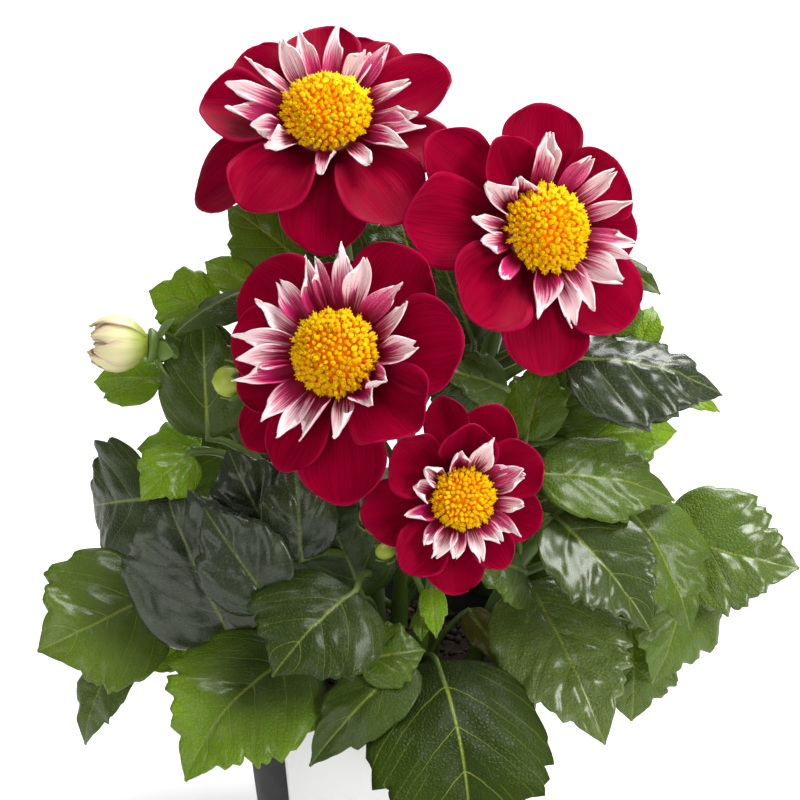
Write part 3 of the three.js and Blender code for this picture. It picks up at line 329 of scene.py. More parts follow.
soil_finish = Finish("damp_peat", Specular_IOR_Level=0.35)
place = soil_finish.object_place()
crumble = soil_finish.noise(place, 260.0, 6.0, 0.7)
patches = soil_finish.noise(place, 60.0, 3.0)
soil_color = soil_finish.mix(crumble, (0.004, 0.003, 0.003), (0.040, 0.022, 0.014))
soil_finish.use(
    Base_Color=soil_finish.mix(patches, soil_color, (0.012, 0.007, 0.005)),
    Roughness=crumble.smooth(0.3, 0.7, 0.6, 0.95),
    Normal=soil_finish.bump(crumble, 0.8, 0.0012),
)
bark_finish = Finish("bark_chip", Roughness=0.85)
bark_grain = bark_finish.noise(bark_finish.object_place(), 500.0, 4.0)
bark_color = bark_finish.mix(bark_grain, (0.018, 0.009, 0.006), (0.14, 0.062, 0.030))
bark_finish.use(Base_Color=bark_color, Normal=bark_finish.bump(bark_grain, 0.6, 0.0004))

soil_edge = wall_radius(SOIL_LEVEL) - POT_WALL - SOIL_GAP
soil_profile = [(0, POT_FLOOR + SOIL_GAP), (wall_radius(POT_FLOOR) - POT_WALL - 2.2, POT_FLOOR + SOIL_GAP)]
soil_profile.append((soil_edge, SOIL_LEVEL - 3))
soil_profile += [(soil_edge * (1 - i / SOIL_RINGS), SOIL_LEVEL) for i in range(1, SOIL_RINGS + 1)]
soil_shell = spun(soil_profile, SOIL_STEPS)
for vert in soil_shell.verts:
    if vert.co.z > SOIL_LEVEL - 1:
        vert.co.z = soil_height(vert.co.x, vert.co.y)


def scattered(shell, shape, count, low, high, stretch, finish_index):
    """Lays small lumps of a shape on the soil, each turned and stretched its own way."""
    for _ in range(count):
        reach = (soil_edge - 2) * math.sqrt(chance.random())
        angle = chance.uniform(0, 2 * math.pi)
        x, y = reach * math.cos(angle), reach * math.sin(angle)
        size = chance.uniform(low, high)
        turn = Matrix.Rotation(chance.uniform(0, ANY_TURN), 4, "Z")
        turn @= Matrix.Rotation(chance.uniform(-0.5, 0.5), 4, "X")
        form = Matrix.Diagonal((size * stretch[0], size * stretch[1], size * stretch[2], 1))
        place = Matrix.Translation((x, y, soil_height(x, y) + size * stretch[2] * 0.3))
        for vert in shape(shell, place @ turn @ form):
            vert.co += noise.noise_vector(vert.co * 0.9) * size * 0.25
            for face in vert.link_faces:
                face.material_index = finish_index


def crumb(shell, matrix):
    return bmesh.ops.create_icosphere(shell, subdivisions=1, radius=1, matrix=matrix)["verts"]


def chip(shell, matrix):
    return bmesh.ops.create_cube(shell, size=1, matrix=matrix)["verts"]


scattered(soil_shell, crumb, CRUMBS, 0.8, 2.6, (1, 0.8, 0.7), 0)
scattered(soil_shell, crumb, CRUMBS // 5, 0.6, 1.5, (1, 0.9, 0.8), 1)
scattered(soil_shell, chip, CHIPS, 1.6, 3.6, (1.5, 0.7, 0.32), 1)
scattered(soil_shell, chip, FIBRES, 3.0, 6.0, (1.6, 0.06, 0.06), 1)
finished(soil_shell, "potting_soil", [soil_finish.material, bark_finish.material], "potting_soil", "soil")

# Label
# A bare card wrapped round the front of the pot's wall, white and slightly satin, with its corners
# just rounded. Nothing is printed on it.
LABEL_HALF_TURN = 43.5
LABEL_LOW = 36.0
LABEL_HIGH = 105.0
LABEL_THICKNESS = 0.45
LABEL_GAP = 0.3
LABEL_DEPTH = 0.7
LABEL_CORNER = 2.0
LABEL_COLUMNS = 48
LABEL_ROWS = 24

label_finish = Finish("white_card", Specular_IOR_Level=0.35)
fibre = label_finish.noise(label_finish.object_place(), 1400.0, 3.0)
label_finish.use(
    Base_Color=label_finish.mix(fibre, (0.91, 0.91, 0.90), (0.94, 0.94, 0.93)),
    Roughness=fibre.smooth(0.3, 0.7, 0.45, 0.55),
    Normal=label_finish.bump(fibre, 0.12, 0.0001),
)


def grid_points(shell, columns, rows):
    """Points of a new grid, each with its place across, from -1 to 1, and along, from 0 to 1."""
    grid = bmesh.ops.create_grid(shell, x_segments=columns, y_segments=rows, size=1)
    return [(vert, vert.co.x, (vert.co.y + 1) / 2) for vert in grid["verts"]]


label_shell = bmesh.new()
label_half = math.radians(LABEL_HALF_TURN)
for vert, u, v in grid_points(label_shell, LABEL_COLUMNS, LABEL_ROWS):
    height = LABEL_LOW + (LABEL_HIGH - LABEL_LOW) * v
    radius = wall_radius(height) + LABEL_GAP + LABEL_DEPTH
    if abs(u) > 0.99 and not 0.01 < v < 0.99:
        u *= 1 - LABEL_CORNER * 0.6 / (radius * label_half)
        height += LABEL_CORNER * 0.6 * (1 if v < 0.5 else -1)
    vert.co = (radius * math.sin(u * label_half), -radius * math.cos(u * label_half), height)
bmesh.ops.recalc_face_normals(label_shell, faces=label_shell.faces)
label_shell = modified(label_shell, "SOLIDIFY", thickness=LABEL_THICKNESS, offset=-1)
finished(label_shell, "label_card", [label_finish.material], "label_card", "label")

# Leafy stems
# Soft green stems stand in the soil and carry toothed leaves on slim stalks. Old leaves are
# dark, quilted and shiny, young ones bright green, and all have pale sunk veins and paler backs.
STALK_RADIUS = 1.35
STALK_POINTS = 12
MIDRIB_STEPS = 19
STEM_STEPS = 16
BLADE_THICKNESS = 0.5
BLADE_COLUMNS = 26
ROWS_PER_TOOTH = 12
BRACT_COUNT = 5
BRACT_COLUMNS = 6
BRACT_ROWS = 10
BRACT_THICKNESS = 0.7
HEAD_RADIUS = 14.0
CREAM_BUD_RADIUS = 7
STEM_SKIN = 2
BUD_SKIN = 3
FRONT = (0, -0.75, 0.65)

# The shape of a leaf's blade and stalk, the depth of its teeth (bite) and of its puffs (quilt), and
# its look: how young and brown it is, how clear its veins are, how it shines, how light its green
# is, painted light and shade included (tone), and how far a painted glow of light through the leaf
# brightens its tip.
USUAL_LEAF = {
    "arch": 0.08, "fold": 0.08, "wave": 0.07, "sweep": 0.0, "rise": 0.22, "broad": 0.5,
    "bite": 0.12, "hang": 0.10, "young": 0.15, "quilt": 0.6, "veins": 0.5, "brown": 0.0, "shine": 0.4,
    "tone": 1.0, "bright": 0.0,
}


def leaf(at, base, tip, width, faces, **shape):
    """A leaf: the height where its stalk leaves the stem, the foot, tip and width of its blade, the
    way its upper side faces, and where it differs from the usual leaf."""
    row = {**USUAL_LEAF, **shape}
    row.update(at=at, base=Vector(base), tip=Vector(tip), width=width, faces=Vector(faces))
    row.setdefault("teeth", 4 if width > 36 else 3 if width > 20 else 2)
    return row


def saw(beat):
    """Forward-pointing teeth: a rounded rise to each whole beat and a quick fall after it."""
    part = beat % 1
    return (part / 0.82) ** 0.7 if part < 0.82 else (1 - part) / 0.18


def upper_side(row):
    """Function that gives a point of the blade's upper side, across from -1 to 1 and along 0 to 1."""
    chord = row["tip"] - row["base"]
    length = chord.length
    along = chord.normalized()
    normal = (row["faces"] - along * row["faces"].dot(along)).normalized()
    side = along.cross(normal)

    def point(u, v):
        outline = math.sin(math.pi * max(v, 0.0001) ** row["broad"]) ** 0.9 if v < 0.9999 else 0
        half = max(row["width"] / 2 * outline, 1.1 if v < 0.5 else 0.5)
        reach = abs(u)
        hand = 1.7 if u > 0 else 0.4
        beat = v * row["teeth"] + 0.08 + 0.10 * math.sin(7 * v + hand + length)
        tooth = saw(beat)
        nick = saw(2 * beat)
        edge = reach ** 5 * min(1, 5 * (1 - v)) * min(1, v * (1.2 + 3.6 * v))
        bite = row["bite"] * (1 + 0.35 * math.sin(11 * v + 3 * hand))
        u *= 1 + edge * bite * (0.95 * tooth + 0.65 * nick - 0.85)
        forward = 0.3 * row["width"] / length * outline * reach * min(1, 3 * v) * (1 - v * v)
        bow = 4 * v * (1 - v)
        ripple = row["wave"] * reach * half * math.sin(9 * v + hand + 0.1 * length)
        lift = row["arch"] * length * bow + row["fold"] * reach * half
        lift += ripple - row["hang"] * half * reach ** 3 - 0.06 * length * v ** 4
        ribs = vein_phase(row, reach, v)
        puff = abs(math.sin(math.pi * ribs)) ** 0.6 * min(1, reach * half / 3) * (1 - reach ** 8)
        spot = row["base"] + along * (length * v) + side * (u * half)
        crinkle = noise.noise(spot * 0.08) * 2 + 0.7 * noise.noise(spot * 0.3)
        broken = 0.75 + 0.9 * noise.noise(spot * 0.14)
        lift += row["quilt"] * 1.15 * broken * puff * min(1, half / 14) + 0.6 * crinkle * min(1, half / 8)
        lift -= 0.9 * edge * math.cos(2 * math.pi * beat) * min(1, half / 12)
        across = u * half + row["sweep"] * length * bow
        run = length * (v + forward + 0.03 * edge * tooth)
        return row["base"] + along * run + side * across + normal * lift

    return point


def vein_phase(row, reach, v):
    """Whole numbers of this lie on the side veins, which run out and forward to the teeth."""
    return v * row["teeth"] - 0.67 + 0.95 * (1 - reach ** 1.2)


def blades(rows):
    """The thin blades of some leaves, with what the leaf finish needs stored on their points."""
    shell = bmesh.new()
    place = shell.verts.layers.float_vector.new("place_on_leaf")
    kind = shell.verts.layers.float_vector.new("kind_of_leaf")
    skin = shell.verts.layers.float_vector.new("skin_of_leaf")
    look = shell.verts.layers.float_vector.new("look_of_leaf")
    for row in rows:
        surface = upper_side(row)
        length = (row["tip"] - row["base"]).length
        for vert, u, v in grid_points(shell, BLADE_COLUMNS, ROWS_PER_TOOTH * row["teeth"]):
            vert.co = surface(u, v)
            half = row["width"] / 2 * math.sin(math.pi * max(v, 0.0001) ** row["broad"])
            vert[place] = (u * half, vein_phase(row, abs(u), v), v)
            vert[kind] = (row["young"], length / row["teeth"], row["brown"])
            vert[skin] = (row["quilt"], row["veins"], half)
            vert[look] = (row["shine"], row["tone"], row["bright"])
    return modified(shell, "SOLIDIFY", thickness=BLADE_THICKNESS, offset=-1, material_offset=1)


def smooth_path(knots, steps):
    """Points of a smooth line through the knots, with handles a third of each span long."""
    points = []
    for i in range(len(knots) - 1):
        start, end = knots[i], knots[i + 1]
        before, after = knots[max(i - 1, 0)], knots[min(i + 2, len(knots) - 1)]
        reach = (end - start).length / 3
        leaving = start + (end - before).normalized() * reach
        arriving = end - (after - start).normalized() * reach
        points += interpolate_bezier(start, leaving, arriving, end, steps + 1)[:-1]
    return points + [knots[-1]]


def at_height(path, height):
    return min(path, key=lambda point: abs(point.z - height))


def tapered(path, first, last):
    """A path and its radii, from the first to the last."""
    count = len(path) - 1
    return path, [first + (last - first) * i / count for i in range(count + 1)]


def tubes(runs):
    """Closed round tubes along (points, radii) runs, made by bevelling one curve."""
    curve = bpy.data.curves.new("draft", "CURVE")
    curve.dimensions = "3D"
    curve.bevel_depth = 1
    curve.bevel_resolution = 3
    curve.use_fill_caps = True
    for points, radii in runs:
        spline = curve.splines.new("POLY")
        spline.points.add(len(points) - 1)
        for target, point, radius in zip(spline.points, points, radii):
            target.co = (*point, 1)
            target.radius = radius
    draft = placed("draft", curve)
    depsgraph = bpy.context.evaluated_depsgraph_get()
    shell = bmesh.new()
    shell.from_mesh(draft.evaluated_get(depsgraph).to_mesh())
    bpy.data.objects.remove(draft)
    bpy.data.curves.remove(curve)
    return shell


def stalk(path, row):
    """Run of one leaf's stalk, which goes on under the blade as its midrib."""
    surface = upper_side(row)
    foot = surface(0, 0)
    start = at_height(path, row["at"])
    knee = start.lerp(foot, 0.5) + Vector((0, 0, (foot - start).length * row["rise"]))
    handles = (start, start.lerp(knee, 0.667), foot.lerp(knee, 0.667), foot)
    points = interpolate_bezier(*handles, STALK_POINTS)
    slim = 0.75 if row["width"] < 20 else 1
    radii = [STALK_RADIUS * slim * (1.35 - 0.4 * i / (STALK_POINTS - 1)) for i in range(STALK_POINTS)]
    normal = (surface(0.5, 0.4) - foot).cross(surface(-0.5, 0.4) - foot).normalized()
    for i in range(1, MIDRIB_STEPS):
        v = i / MIDRIB_STEPS
        radius = STALK_RADIUS * slim * (0.95 - 0.75 * v)
        points.append(surface(0, v) - normal * radius * min(1.05, 0.35 + 4 * v))
        radii.append(radius)
    return points, radii


def joined(*shells):
    """One bmesh of several, which are used up."""
    result = shells[0]
    for shell in shells[1:]:
        mesh = mesh_of(shell)
        result.from_mesh(mesh)
        bpy.data.meshes.remove(mesh)
    return result


def painted(shell, index):
    for face in shell.faces:
        face.material_index = index
    return shell


def moved(shell, matrix):
    bmesh.ops.transform(shell, matrix=matrix, verts=shell.verts)
    return shell


def bloom_place(head, faces, up=(0, 0, 1)):
    """Matrix of a bloom: its Z is the way it faces, and its Y is its upper side."""
    z = Vector(faces).normalized()
    x = Vector(up).cross(z).normalized()
    return Matrix.Translation(head) @ Matrix((x, z.cross(x), z)).transposed().to_4x4()


def ways_round(angle):
    """Directions outward and sideways at an angle round Z."""
    outward = Vector((math.cos(angle), math.sin(angle), 0))
    return outward, Vector((outward.y, -outward.x, 0))


def bracts(turn, inner, outer, width):
    """Ring of small pointed green bracts from an inner (radius, height) to an outer one."""
    shell = bmesh.new()
    for i in range(BRACT_COUNT):
        outward, side = ways_round((i + turn) / BRACT_COUNT * 2 * math.pi)
        base = outward * inner[0] + Vector((0, 0, inner[1]))
        tip = outward * outer[0] + Vector((0, 0, outer[1]))
        normal = (tip - base).cross(side).normalized()
        if normal.dot(outward + Vector((0, 0, 0.6))) < 0:
            normal = -normal
        for vert, u, v in grid_points(shell, BRACT_COLUMNS, BRACT_ROWS):
            half = width / 2 * (math.sin(math.pi * v ** 0.7) ** 0.8 if v < 0.999 else 0) + 0.15
            bend = 4 * v * (1 - v) * (tip - base).length * 0.12
            vert.co = base.lerp(tip, v) + side * (u * half) + normal * (bend + 0.9 - 0.12 * half * u * u)
    bmesh.ops.recalc_face_normals(shell, faces=shell.faces)
    return modified(shell, "SOLIDIFY", thickness=BRACT_THICKNESS, offset=-1)


def green_bud(path, origin, at, faces, radius, height):
    """Closed bud with its bracts, and the run of its stalk."""
    axis = Vector(faces).normalized()
    place = bloom_place(at, faces, (0.3, 0.2, 1))
    profile = [(0, -0.15 * height)]
    for i in range(1, 12):
        turn = math.pi * i / 12
        profile.append((radius * math.sin(turn) ** 0.8, height * (0.38 - 0.54 * math.cos(turn))))
    profile.append((0, height))
    shell = painted(spun(profile, 20), BUD_SKIN)
    ring = bracts(0.4, (radius * 0.5, -height * 0.1), (radius * 1.25, height * 0.6), radius * 0.9)
    neck = Vector(at) - axis * height * 0.5
    start = at_height(path, origin)
    knee = start.lerp(neck, 0.6) + Vector((0, 0, 4))
    run = tapered(smooth_path([start, knee, neck, Vector(at) + axis * height * 0.1], 6), 1.5, 1.2)
    return moved(joined(shell, painted(ring, STEM_SKIN)), place), run


def head_cup(radius, matrix, bract_ring):
    """Green cup under a bloom with its bracts bent back."""
    profile = [(0, -8), (radius * 0.25, -7.6), (radius * 0.5, -5.5), (radius * 0.85, -3), (radius, -1.2)]
    profile += [(radius * 0.98, -0.5), (radius * 0.9, 0), (0, 0)]
    return painted(moved(joined(spun(profile, 28), bract_ring), matrix), STEM_SKIN)


def leaf_finish(name, back):
    """Leaf skin; back gives the paler underside, where the veins stand out instead of sinking in."""
    finish = Finish(name, Specular_IOR_Level=0.12, Coat_Roughness=0.27)
    across, vein, along = finish.attribute("place_on_leaf")
    young, spacing, brown = finish.attribute("kind_of_leaf")
    quilt, veins, half = finish.attribute("skin_of_leaf")
    shine, tone, bright = finish.attribute("look_of_leaf")
    place = finish.object_place()
    cloud = finish.noise(place, 38.0, 3.0)
    fine = finish.noise(place, 900.0, 2.0)
    warp = finish.noise(place, 160.0, 2.0)
    cells = finish.node(
        "ShaderNodeTexVoronoi", {"feature": "DISTANCE_TO_EDGE"},
        {"Vector": place, "Scale": 620.0, "Randomness": 0.9}, "Distance",
    )
    pebbles = finish.node(
        "ShaderNodeTexVoronoi", {"feature": "SMOOTH_F1"},
        {"Vector": place, "Scale": 1200.0, "Smoothness": 0.6, "Randomness": 1.0}, "Distance",
    )
    middle = (abs(across) * 0.8 + along * 0.55).smooth(0.25, 1.0, 1.0, 0.0)
    gap = (vein + (warp - 0.5) * 0.10).off_whole() * spacing
    ribs = (1 - (gap + abs(across) * 0.012).smooth(0.05, 0.60)) * along.smooth(0.02, 0.10)
    forks = (vein * 2.0 + 0.5).off_whole() * spacing
    forks = (1 - forks.smooth(0.05, 0.8)) * (abs(across) - half * 0.45).smooth(0.0, 3.0)
    net = 1 - cells.smooth(0.0, 0.07)
    puffs = cells.smooth(0.0, 0.34)
    old_color = (0.070, 0.095, 0.040) if back else (0.017, 0.026, 0.008)
    young_color = (0.150, 0.235, 0.020) if back else (0.190, 0.345, 0.001)
    rib_color = (0.260, 0.330, 0.080) if back else (0.260, 0.330, 0.040)
    # Painted light: a glow of light through the leaf, stronger towards its tip.
    painted_tip_glow_mask = (along + abs(across) * 0.02 + cloud * 0.3).smooth(0.45, 1.15) * bright
    green = finish.mix(young + painted_tip_glow_mask, old_color, young_color)
    green = finish.mix(cloud.smooth(0.40, 0.72) * 0.40, green, (0.045, 0.070, 0.006))
    green = finish.mix(brown, green, (0.120, 0.080, 0.008))
    green = finish.mix(net * veins * 0.30, green, (0.090, 0.140, 0.012))
    # The leaf's own lightness with painted light and shade: some leaves are lightened or darkened to stand
    # for how the light falls on them.
    tint = finish.vector(tone * (tone * 0.15 + 0.85), tone, tone * tone)
    green = finish.mix(1.0, green, tint, "MULTIPLY")
    green = finish.mix((ribs + forks * 0.45) * veins * 0.80, green, rib_color)
    green = finish.mix(middle * (veins * 0.75 + 0.25), green, rib_color)
    relief = middle + ribs + forks * 0.6 + net * 0.35 - puffs * (quilt * 0.55) + pebbles * 0.22
    height = relief * (0.8 if back else -1.0) + fine * 0.10
    finish.use(
        Base_Color=green,
        Roughness=(cloud + warp * 0.5).smooth(0.45, 1.0, 0.34, 0.50) + (0.25 if back else 0.0),
        Coat_Weight=shine * (0.05 if back else 1.0),
        Normal=finish.bump(height, 0.8, 0.0005),
    )
    return finish.material


leaf_skins = [leaf_finish("leaf_upper_side", False), leaf_finish("leaf_underside", True)]
stem_finish = Finish("stem_skin", Roughness=0.42)
place = stem_finish.object_place()
streaks = stem_finish.noise(place, 140.0, 3.0)
flush = stem_finish.noise(place, 22.0, 2.0)
stem_green = stem_finish.mix(streaks, (0.075, 0.130, 0.018), (0.150, 0.230, 0.040))
stem_finish.use(
    Base_Color=stem_finish.mix(flush.smooth(0.6, 0.8) * 0.5, stem_green, (0.090, 0.075, 0.025)),
    Normal=stem_finish.bump(streaks, 0.3, 0.0005),
)
bud_skin = Finish("green_bud_skin", Roughness=0.38)
place = bud_skin.object_place()
blush = bud_skin.noise(place, 90.0, 2.0).smooth(0.50, 0.66)
bud_green = bud_skin.mix(bud_skin.noise(place, 260.0, 2.0), (0.250, 0.330, 0.020), (0.420, 0.500, 0.050))
bud_skin.use(
    Base_Color=bud_skin.mix(blush * 0.6, bud_green, (0.620, 0.300, 0.040)),
    Normal=bud_skin.bump(bud_skin.noise(place, 500.0, 2.0), 0.2, 0.0004),
)
LEAFY_FINISHES = leaf_skins + [stem_finish.material, bud_skin.material]

# Where each bloom sits, and its size beside a full one.
BLOOMS = {
    1: (bloom_place((-24, 22, 319), (-0.03, -0.56, 0.83)), 1.0),
    2: (bloom_place((56, 5, 283), (0.42, -0.8, 0.42)), 1.0),
    3: (bloom_place((-18.6, -35, 247), (-0.2, -0.84, 0.5)), 1.0),
    4: (bloom_place((26.6, -45, 193), (0.13, -0.92, 0.36)), 0.7),
}
CREAM_BUD_SEAT = bloom_place((-94, 0, 238), (-0.99, -0.12, 0.1))
OLD_LEAF = {"young": 0, "quilt": 1.7, "bite": 0.06, "veins": 0.15, "shine": 0.8, "tone": 1.3}

# A stem's path from the soil up, its radii at both ends, the bloom on its top, its green buds and its
# leaves. A bud is the height where its stalk leaves the stem, its place, the way it faces, its radius
# and its height.
STEMS = {
    "stem_1": {
        "path": [(-6, 16, 78), (-8, 27, 180), (-18, 34, 262)], "radii": (4, 2.9), "bloom": 1,
        "leaves": [
            leaf(222, (-52, 4, 260), (-83, -15, 250), 18, (-0.2, -0.4, 0.9), fold=-0.5, young=0.1),
            leaf(214, (-55, 15, 257), (-73, 28, 263), 16, (0, -0.7, 0.7), young=0.9),
            leaf(232, (-35, 28, 262), (-64, 38, 282), 33, (0, -0.8, 0.6), young=0.5),
            leaf(205, (12, 34, 245), (2, 48, 281), 34, (0.1, -0.9, 0.4), young=0.1),
        ],
    },
    "stem_2": {
        "path": [(14, 8, 78), (24, 16, 170), (44, 20, 245)], "radii": (4, 2.9), "bloom": 2,
        "leaves": [
            leaf(160, (58, -25, 194), (112, -20, 183), 40, (0, -0.5, 0.87), young=0.3),
            leaf(172, (69, 4, 196), (115, 18, 195), 32, (0, -0.8, 0.6), young=0.9),
            leaf(205, (68, -8, 236), (132, 4, 218), 46, (0.1, -0.5, 0.87), teeth=5, fold=-0.3, young=0.06,
                 shine=1.0, quilt=1.5, tone=0.6),
            leaf(190, (115, 17, 210), (132, 22, 201), 7, FRONT, young=1.0),
            leaf(180, (53, -5, 200), (61, 5, 231), 26, (0, -1, 0.2), young=0.5),
            leaf(238, (88, 22, 264), (106, 15, 254), 11, FRONT, young=0.2),
            leaf(212, (98, 16, 230), (104, 28, 244), 14, FRONT, young=0.9),
            leaf(222, (86, 10, 238), (95, 22, 256), 18, FRONT, young=0.5),
            leaf(200, (46, -7, 222), (18, -21, 237), 22, FRONT, young=0.2),
            leaf(202, (33, 10, 235), (20, 18, 268), 28, (0, -0.95, 0.3), young=0.1),
            leaf(172, (58, 8, 193), (81, 17, 227), 38, (0, -0.95, 0.3), young=0.4),
            leaf(178, (34, 3, 213), (17, 0, 230), 24, (0, -0.95, 0.3), young=0.2),
            leaf(125, (46, 4, 144), (82, -4, 142), 44, (0, -0.8, 0.6), young=0.4),
        ],
    },
    "stem_3": {
        "path": [(-4, -8, 78), (-7, -8, 160), (-13, -14, 215)], "radii": (4, 2.9), "bloom": 3,
        "buds": [(196, (-57, -22, 232), (-0.8, -0.3, 0.1), 6.2, 12)],
        "leaves": [
            leaf(130, (-44, -59, 154), (-71, -48, 190), 36, (-0.1, -0.9, 0.35), **OLD_LEAF),
            leaf(150, (-47, -35, 175), (-63, -22, 204), 30, (-0.1, -0.9, 0.35), **OLD_LEAF),
            leaf(145, (-34, -43, 166), (-37, -33, 207), 31, (0.1, -0.95, 0.3), **OLD_LEAF),
            leaf(140, (-13, -58, 160), (-44, -90, 141), 54, (-0.1, -0.65, 0.75), young=0.12, quilt=0.9,
                 shine=0.28, tone=0.72),
            leaf(118, (-34, -52, 130), (-78, -88, 95), 57, FRONT, teeth=5, arch=0.12, sweep=0.08, young=0.1,
                 bite=0.17, bright=0.6, tone=1.1),
            leaf(122, (-10, -22, 140), (-28, -19, 186), 40, (0, -1, 0.2), young=0.1),
        ],
    },
    "stem_4": {
        "path": [(10, -18, 78), (13, -22, 130), (21, -30, 168)], "radii": (3.4, 2.4), "bloom": 4,
        "buds": [
            (140, (0, -42, 169), (-0.5, -0.6, 0.3), 3.2, 8),
            (152, (-4, -32, 176), (-0.6, -0.2, 0.7), 4.4, 11),
        ],
        "leaves": [
            leaf(108, (8, -60, 132), (-31, -84, 99), 30, (-0.1, -0.75, 0.65), arch=0.1, young=0.15),
            leaf(116, (-12, -66, 134), (14, -60, 136), 26, (0, -0.8, 0.6), young=0.3),
            leaf(150, (16, -46, 156), (18, -56, 139), 11, (0, -0.9, 0.4), young=0.9),
            leaf(132, (13, -47, 146), (12, -56, 138), 9, (-0.3, -0.9, 0.4), young=0.5),
            leaf(106, (18, -49, 126), (31, -103, 59), 70, (0.1, -0.7, 0.7), teeth=5, arch=0.2, sweep=-0.02,
                 young=0.14, veins=0.8, shine=0.04, tone=0.44, bright=0.15),
            leaf(104, (31, -16, 132), (47, -32, 113), 14, FRONT, young=0.3, brown=0.7),
        ],
    },
    "stem_left": {
        "path": [(-24, 2, 78), (-32, 4, 140), (-58, 4, 196), (-86, 1, 237)], "radii": (4, 2.4),
        "leaves": [
            leaf(116, (-92, -13, 138), (-138, -35, 124), 60, (-0.1, -0.75, 0.65), sweep=-0.04, young=0.22,
                 bite=0.10, veins=0.9, shine=0.6, tone=1.4, bright=0.15),
            leaf(112, (-104, -5, 112), (-125, -12, 70), 28, (-0.6, -0.6, 0.5), rise=0.3, young=0.3),
            leaf(110, (-74, -5, 116), (-97, -10, 102), 20, (-0.3, -0.7, 0.6), young=0.8),
            leaf(150, (-95, 0, 173), (-122, 30, 156), 52, (-0.5, -0.75, 0.3), young=0.05),
            leaf(180, (-77, -20, 201), (-96, -34, 188), 25, (-0.2, -0.8, 0.6), young=0.8, veins=0.9),
            leaf(204, (-62, 20, 220), (-90, 26, 234), 26, (0, -1, 0.3), young=0.3),
            leaf(176, (-75, 5, 192), (-101, 15, 189), 22, (0, -0.5, 0.85), young=0.9),
            leaf(186, (-71, -8, 202), (-73, 8, 248), 36, (0, -1, 0.3), young=0.2, veins=0.9),
            leaf(222, (-68, 12, 247), (-95, 22, 253), 27, FRONT, young=1.0, veins=0.8),
            leaf(212, (-89, 3, 222), (-117, 12, 219), 27, (0, -0.5, 0.85), young=1.0, veins=0.8),
            leaf(128, (-61, -45, 133), (-89, -28, 195), 62, (-0.25, -0.9, 0.35), broad=0.46, young=0,
                 quilt=1.7, bite=0.04, veins=0.2, shine=0.9, tone=1.3),
        ],
    },
    "stem_right": {
        "path": [(28, -2, 78), (42, -6, 130), (66, -10, 168), (90, -8, 182)], "radii": (4, 2),
        "leaves": [
            leaf(120, (54, -19, 145), (84, -65, 99), 53, (0.1, -0.7, 0.7), teeth=5, young=0.18,
                 shine=1.0, tone=1.9, quilt=1.6, veins=0.9),
            leaf(132, (53, -24, 152), (28, -46, 166), 38, (0.1, -0.6, 0.8), young=0.3),
            leaf(150, (45, -20, 181), (60, -30, 187), 14, FRONT, young=0.3),
            leaf(156, (64, -32, 179), (101, -62, 146), 42, (0.1, -0.6, 0.8), teeth=5, fold=0.25, young=0.12,
                 shine=0.7),
            leaf(176, (92, -20, 180), (118, -45, 138), 44, (0.5, -0.7, 0.5), young=0.3),
            leaf(140, (116, -8, 151), (105, -34, 108), 44, (0.5, -0.8, 0.3), young=0.3, tone=1.2),
            leaf(170, (108, -1, 160), (162, -12, 149), 50, FRONT, teeth=5, sweep=0.06, young=0.3,
                 shine=1.0, quilt=0.9, tone=1.2),
            leaf(118, (95, -12, 124), (97, -24, 86), 37, (0.3, -0.9, 0.3), young=0.4),
            leaf(124, (72, 10, 128), (100, 2, 98), 34, FRONT, young=0.2),
        ],
    },
    "stem_back": {
        "path": [(2, 32, 78), (6, 44, 150), (4, 50, 215), (2, 54, 245)], "radii": (4, 2),
        "leaves": [
            leaf(118, (44, 54, 138), (84, 84, 122), 44, (0.4, 0.4, 0.8), teeth=3),
            leaf(130, (14, 72, 148), (20, 118, 132), 46, (0, 0.5, 0.85), teeth=3),
            leaf(122, (-30, 60, 140), (-62, 94, 124), 44, (-0.3, 0.4, 0.8), teeth=3),
            leaf(150, (-50, 46, 168), (-92, 56, 152), 40, (-0.4, 0.2, 0.85), teeth=3),
            leaf(165, (44, 50, 190), (86, 58, 176), 40, (0.4, 0.2, 0.85), teeth=3),
            leaf(178, (8, 74, 200), (12, 112, 188), 38, (0, 0.5, 0.85), teeth=3),
            leaf(190, (-32, 58, 212), (-66, 72, 204), 34, (-0.3, 0.4, 0.8), teeth=3, young=0.5),
            leaf(236, (14, 64, 252), (30, 84, 262), 22, (0.3, 0.6, 0.8), teeth=3, young=0.9),
            leaf(240, (-8, 64, 254), (-26, 82, 262), 22, (-0.3, 0.6, 0.8), teeth=3, young=0.9),
            leaf(124, (-15, 46, 140), (-58, 44, 172), 48, (0, -1, 0.15), young=0.1),
            leaf(132, (20, 46, 150), (60, 40, 186), 46, (0, -1, 0.15), young=0.1),
            leaf(160, (-8, 52, 182), (-34, 48, 236), 42, (0, -1, 0.15), young=0.1),
            leaf(172, (16, 54, 196), (40, 46, 246), 50, (0, -1, 0.15), young=0.1),
            leaf(104, (-14, 44, 112), (-56, 38, 128), 40, (0, -1, 0.3), young=0.1),
            leaf(106, (22, 44, 126), (64, 34, 142), 38, (0, -1, 0.3), young=0.1),
            leaf(150, (-36, 34, 178), (-58, 30, 226), 34, (0, -1, 0.2), young=0.1),
            leaf(136, (-50, 36, 170), (-92, 34, 188), 44, (0, -1, 0.3), young=0.3),
            leaf(112, (50, 34, 152), (94, 30, 174), 44, (0, -1, 0.3), young=0.1),
            leaf(222, (-4, 50, 246), (-34, 46, 264), 40, (0, -1, 0.3), young=0.1),
        ],
    },
}

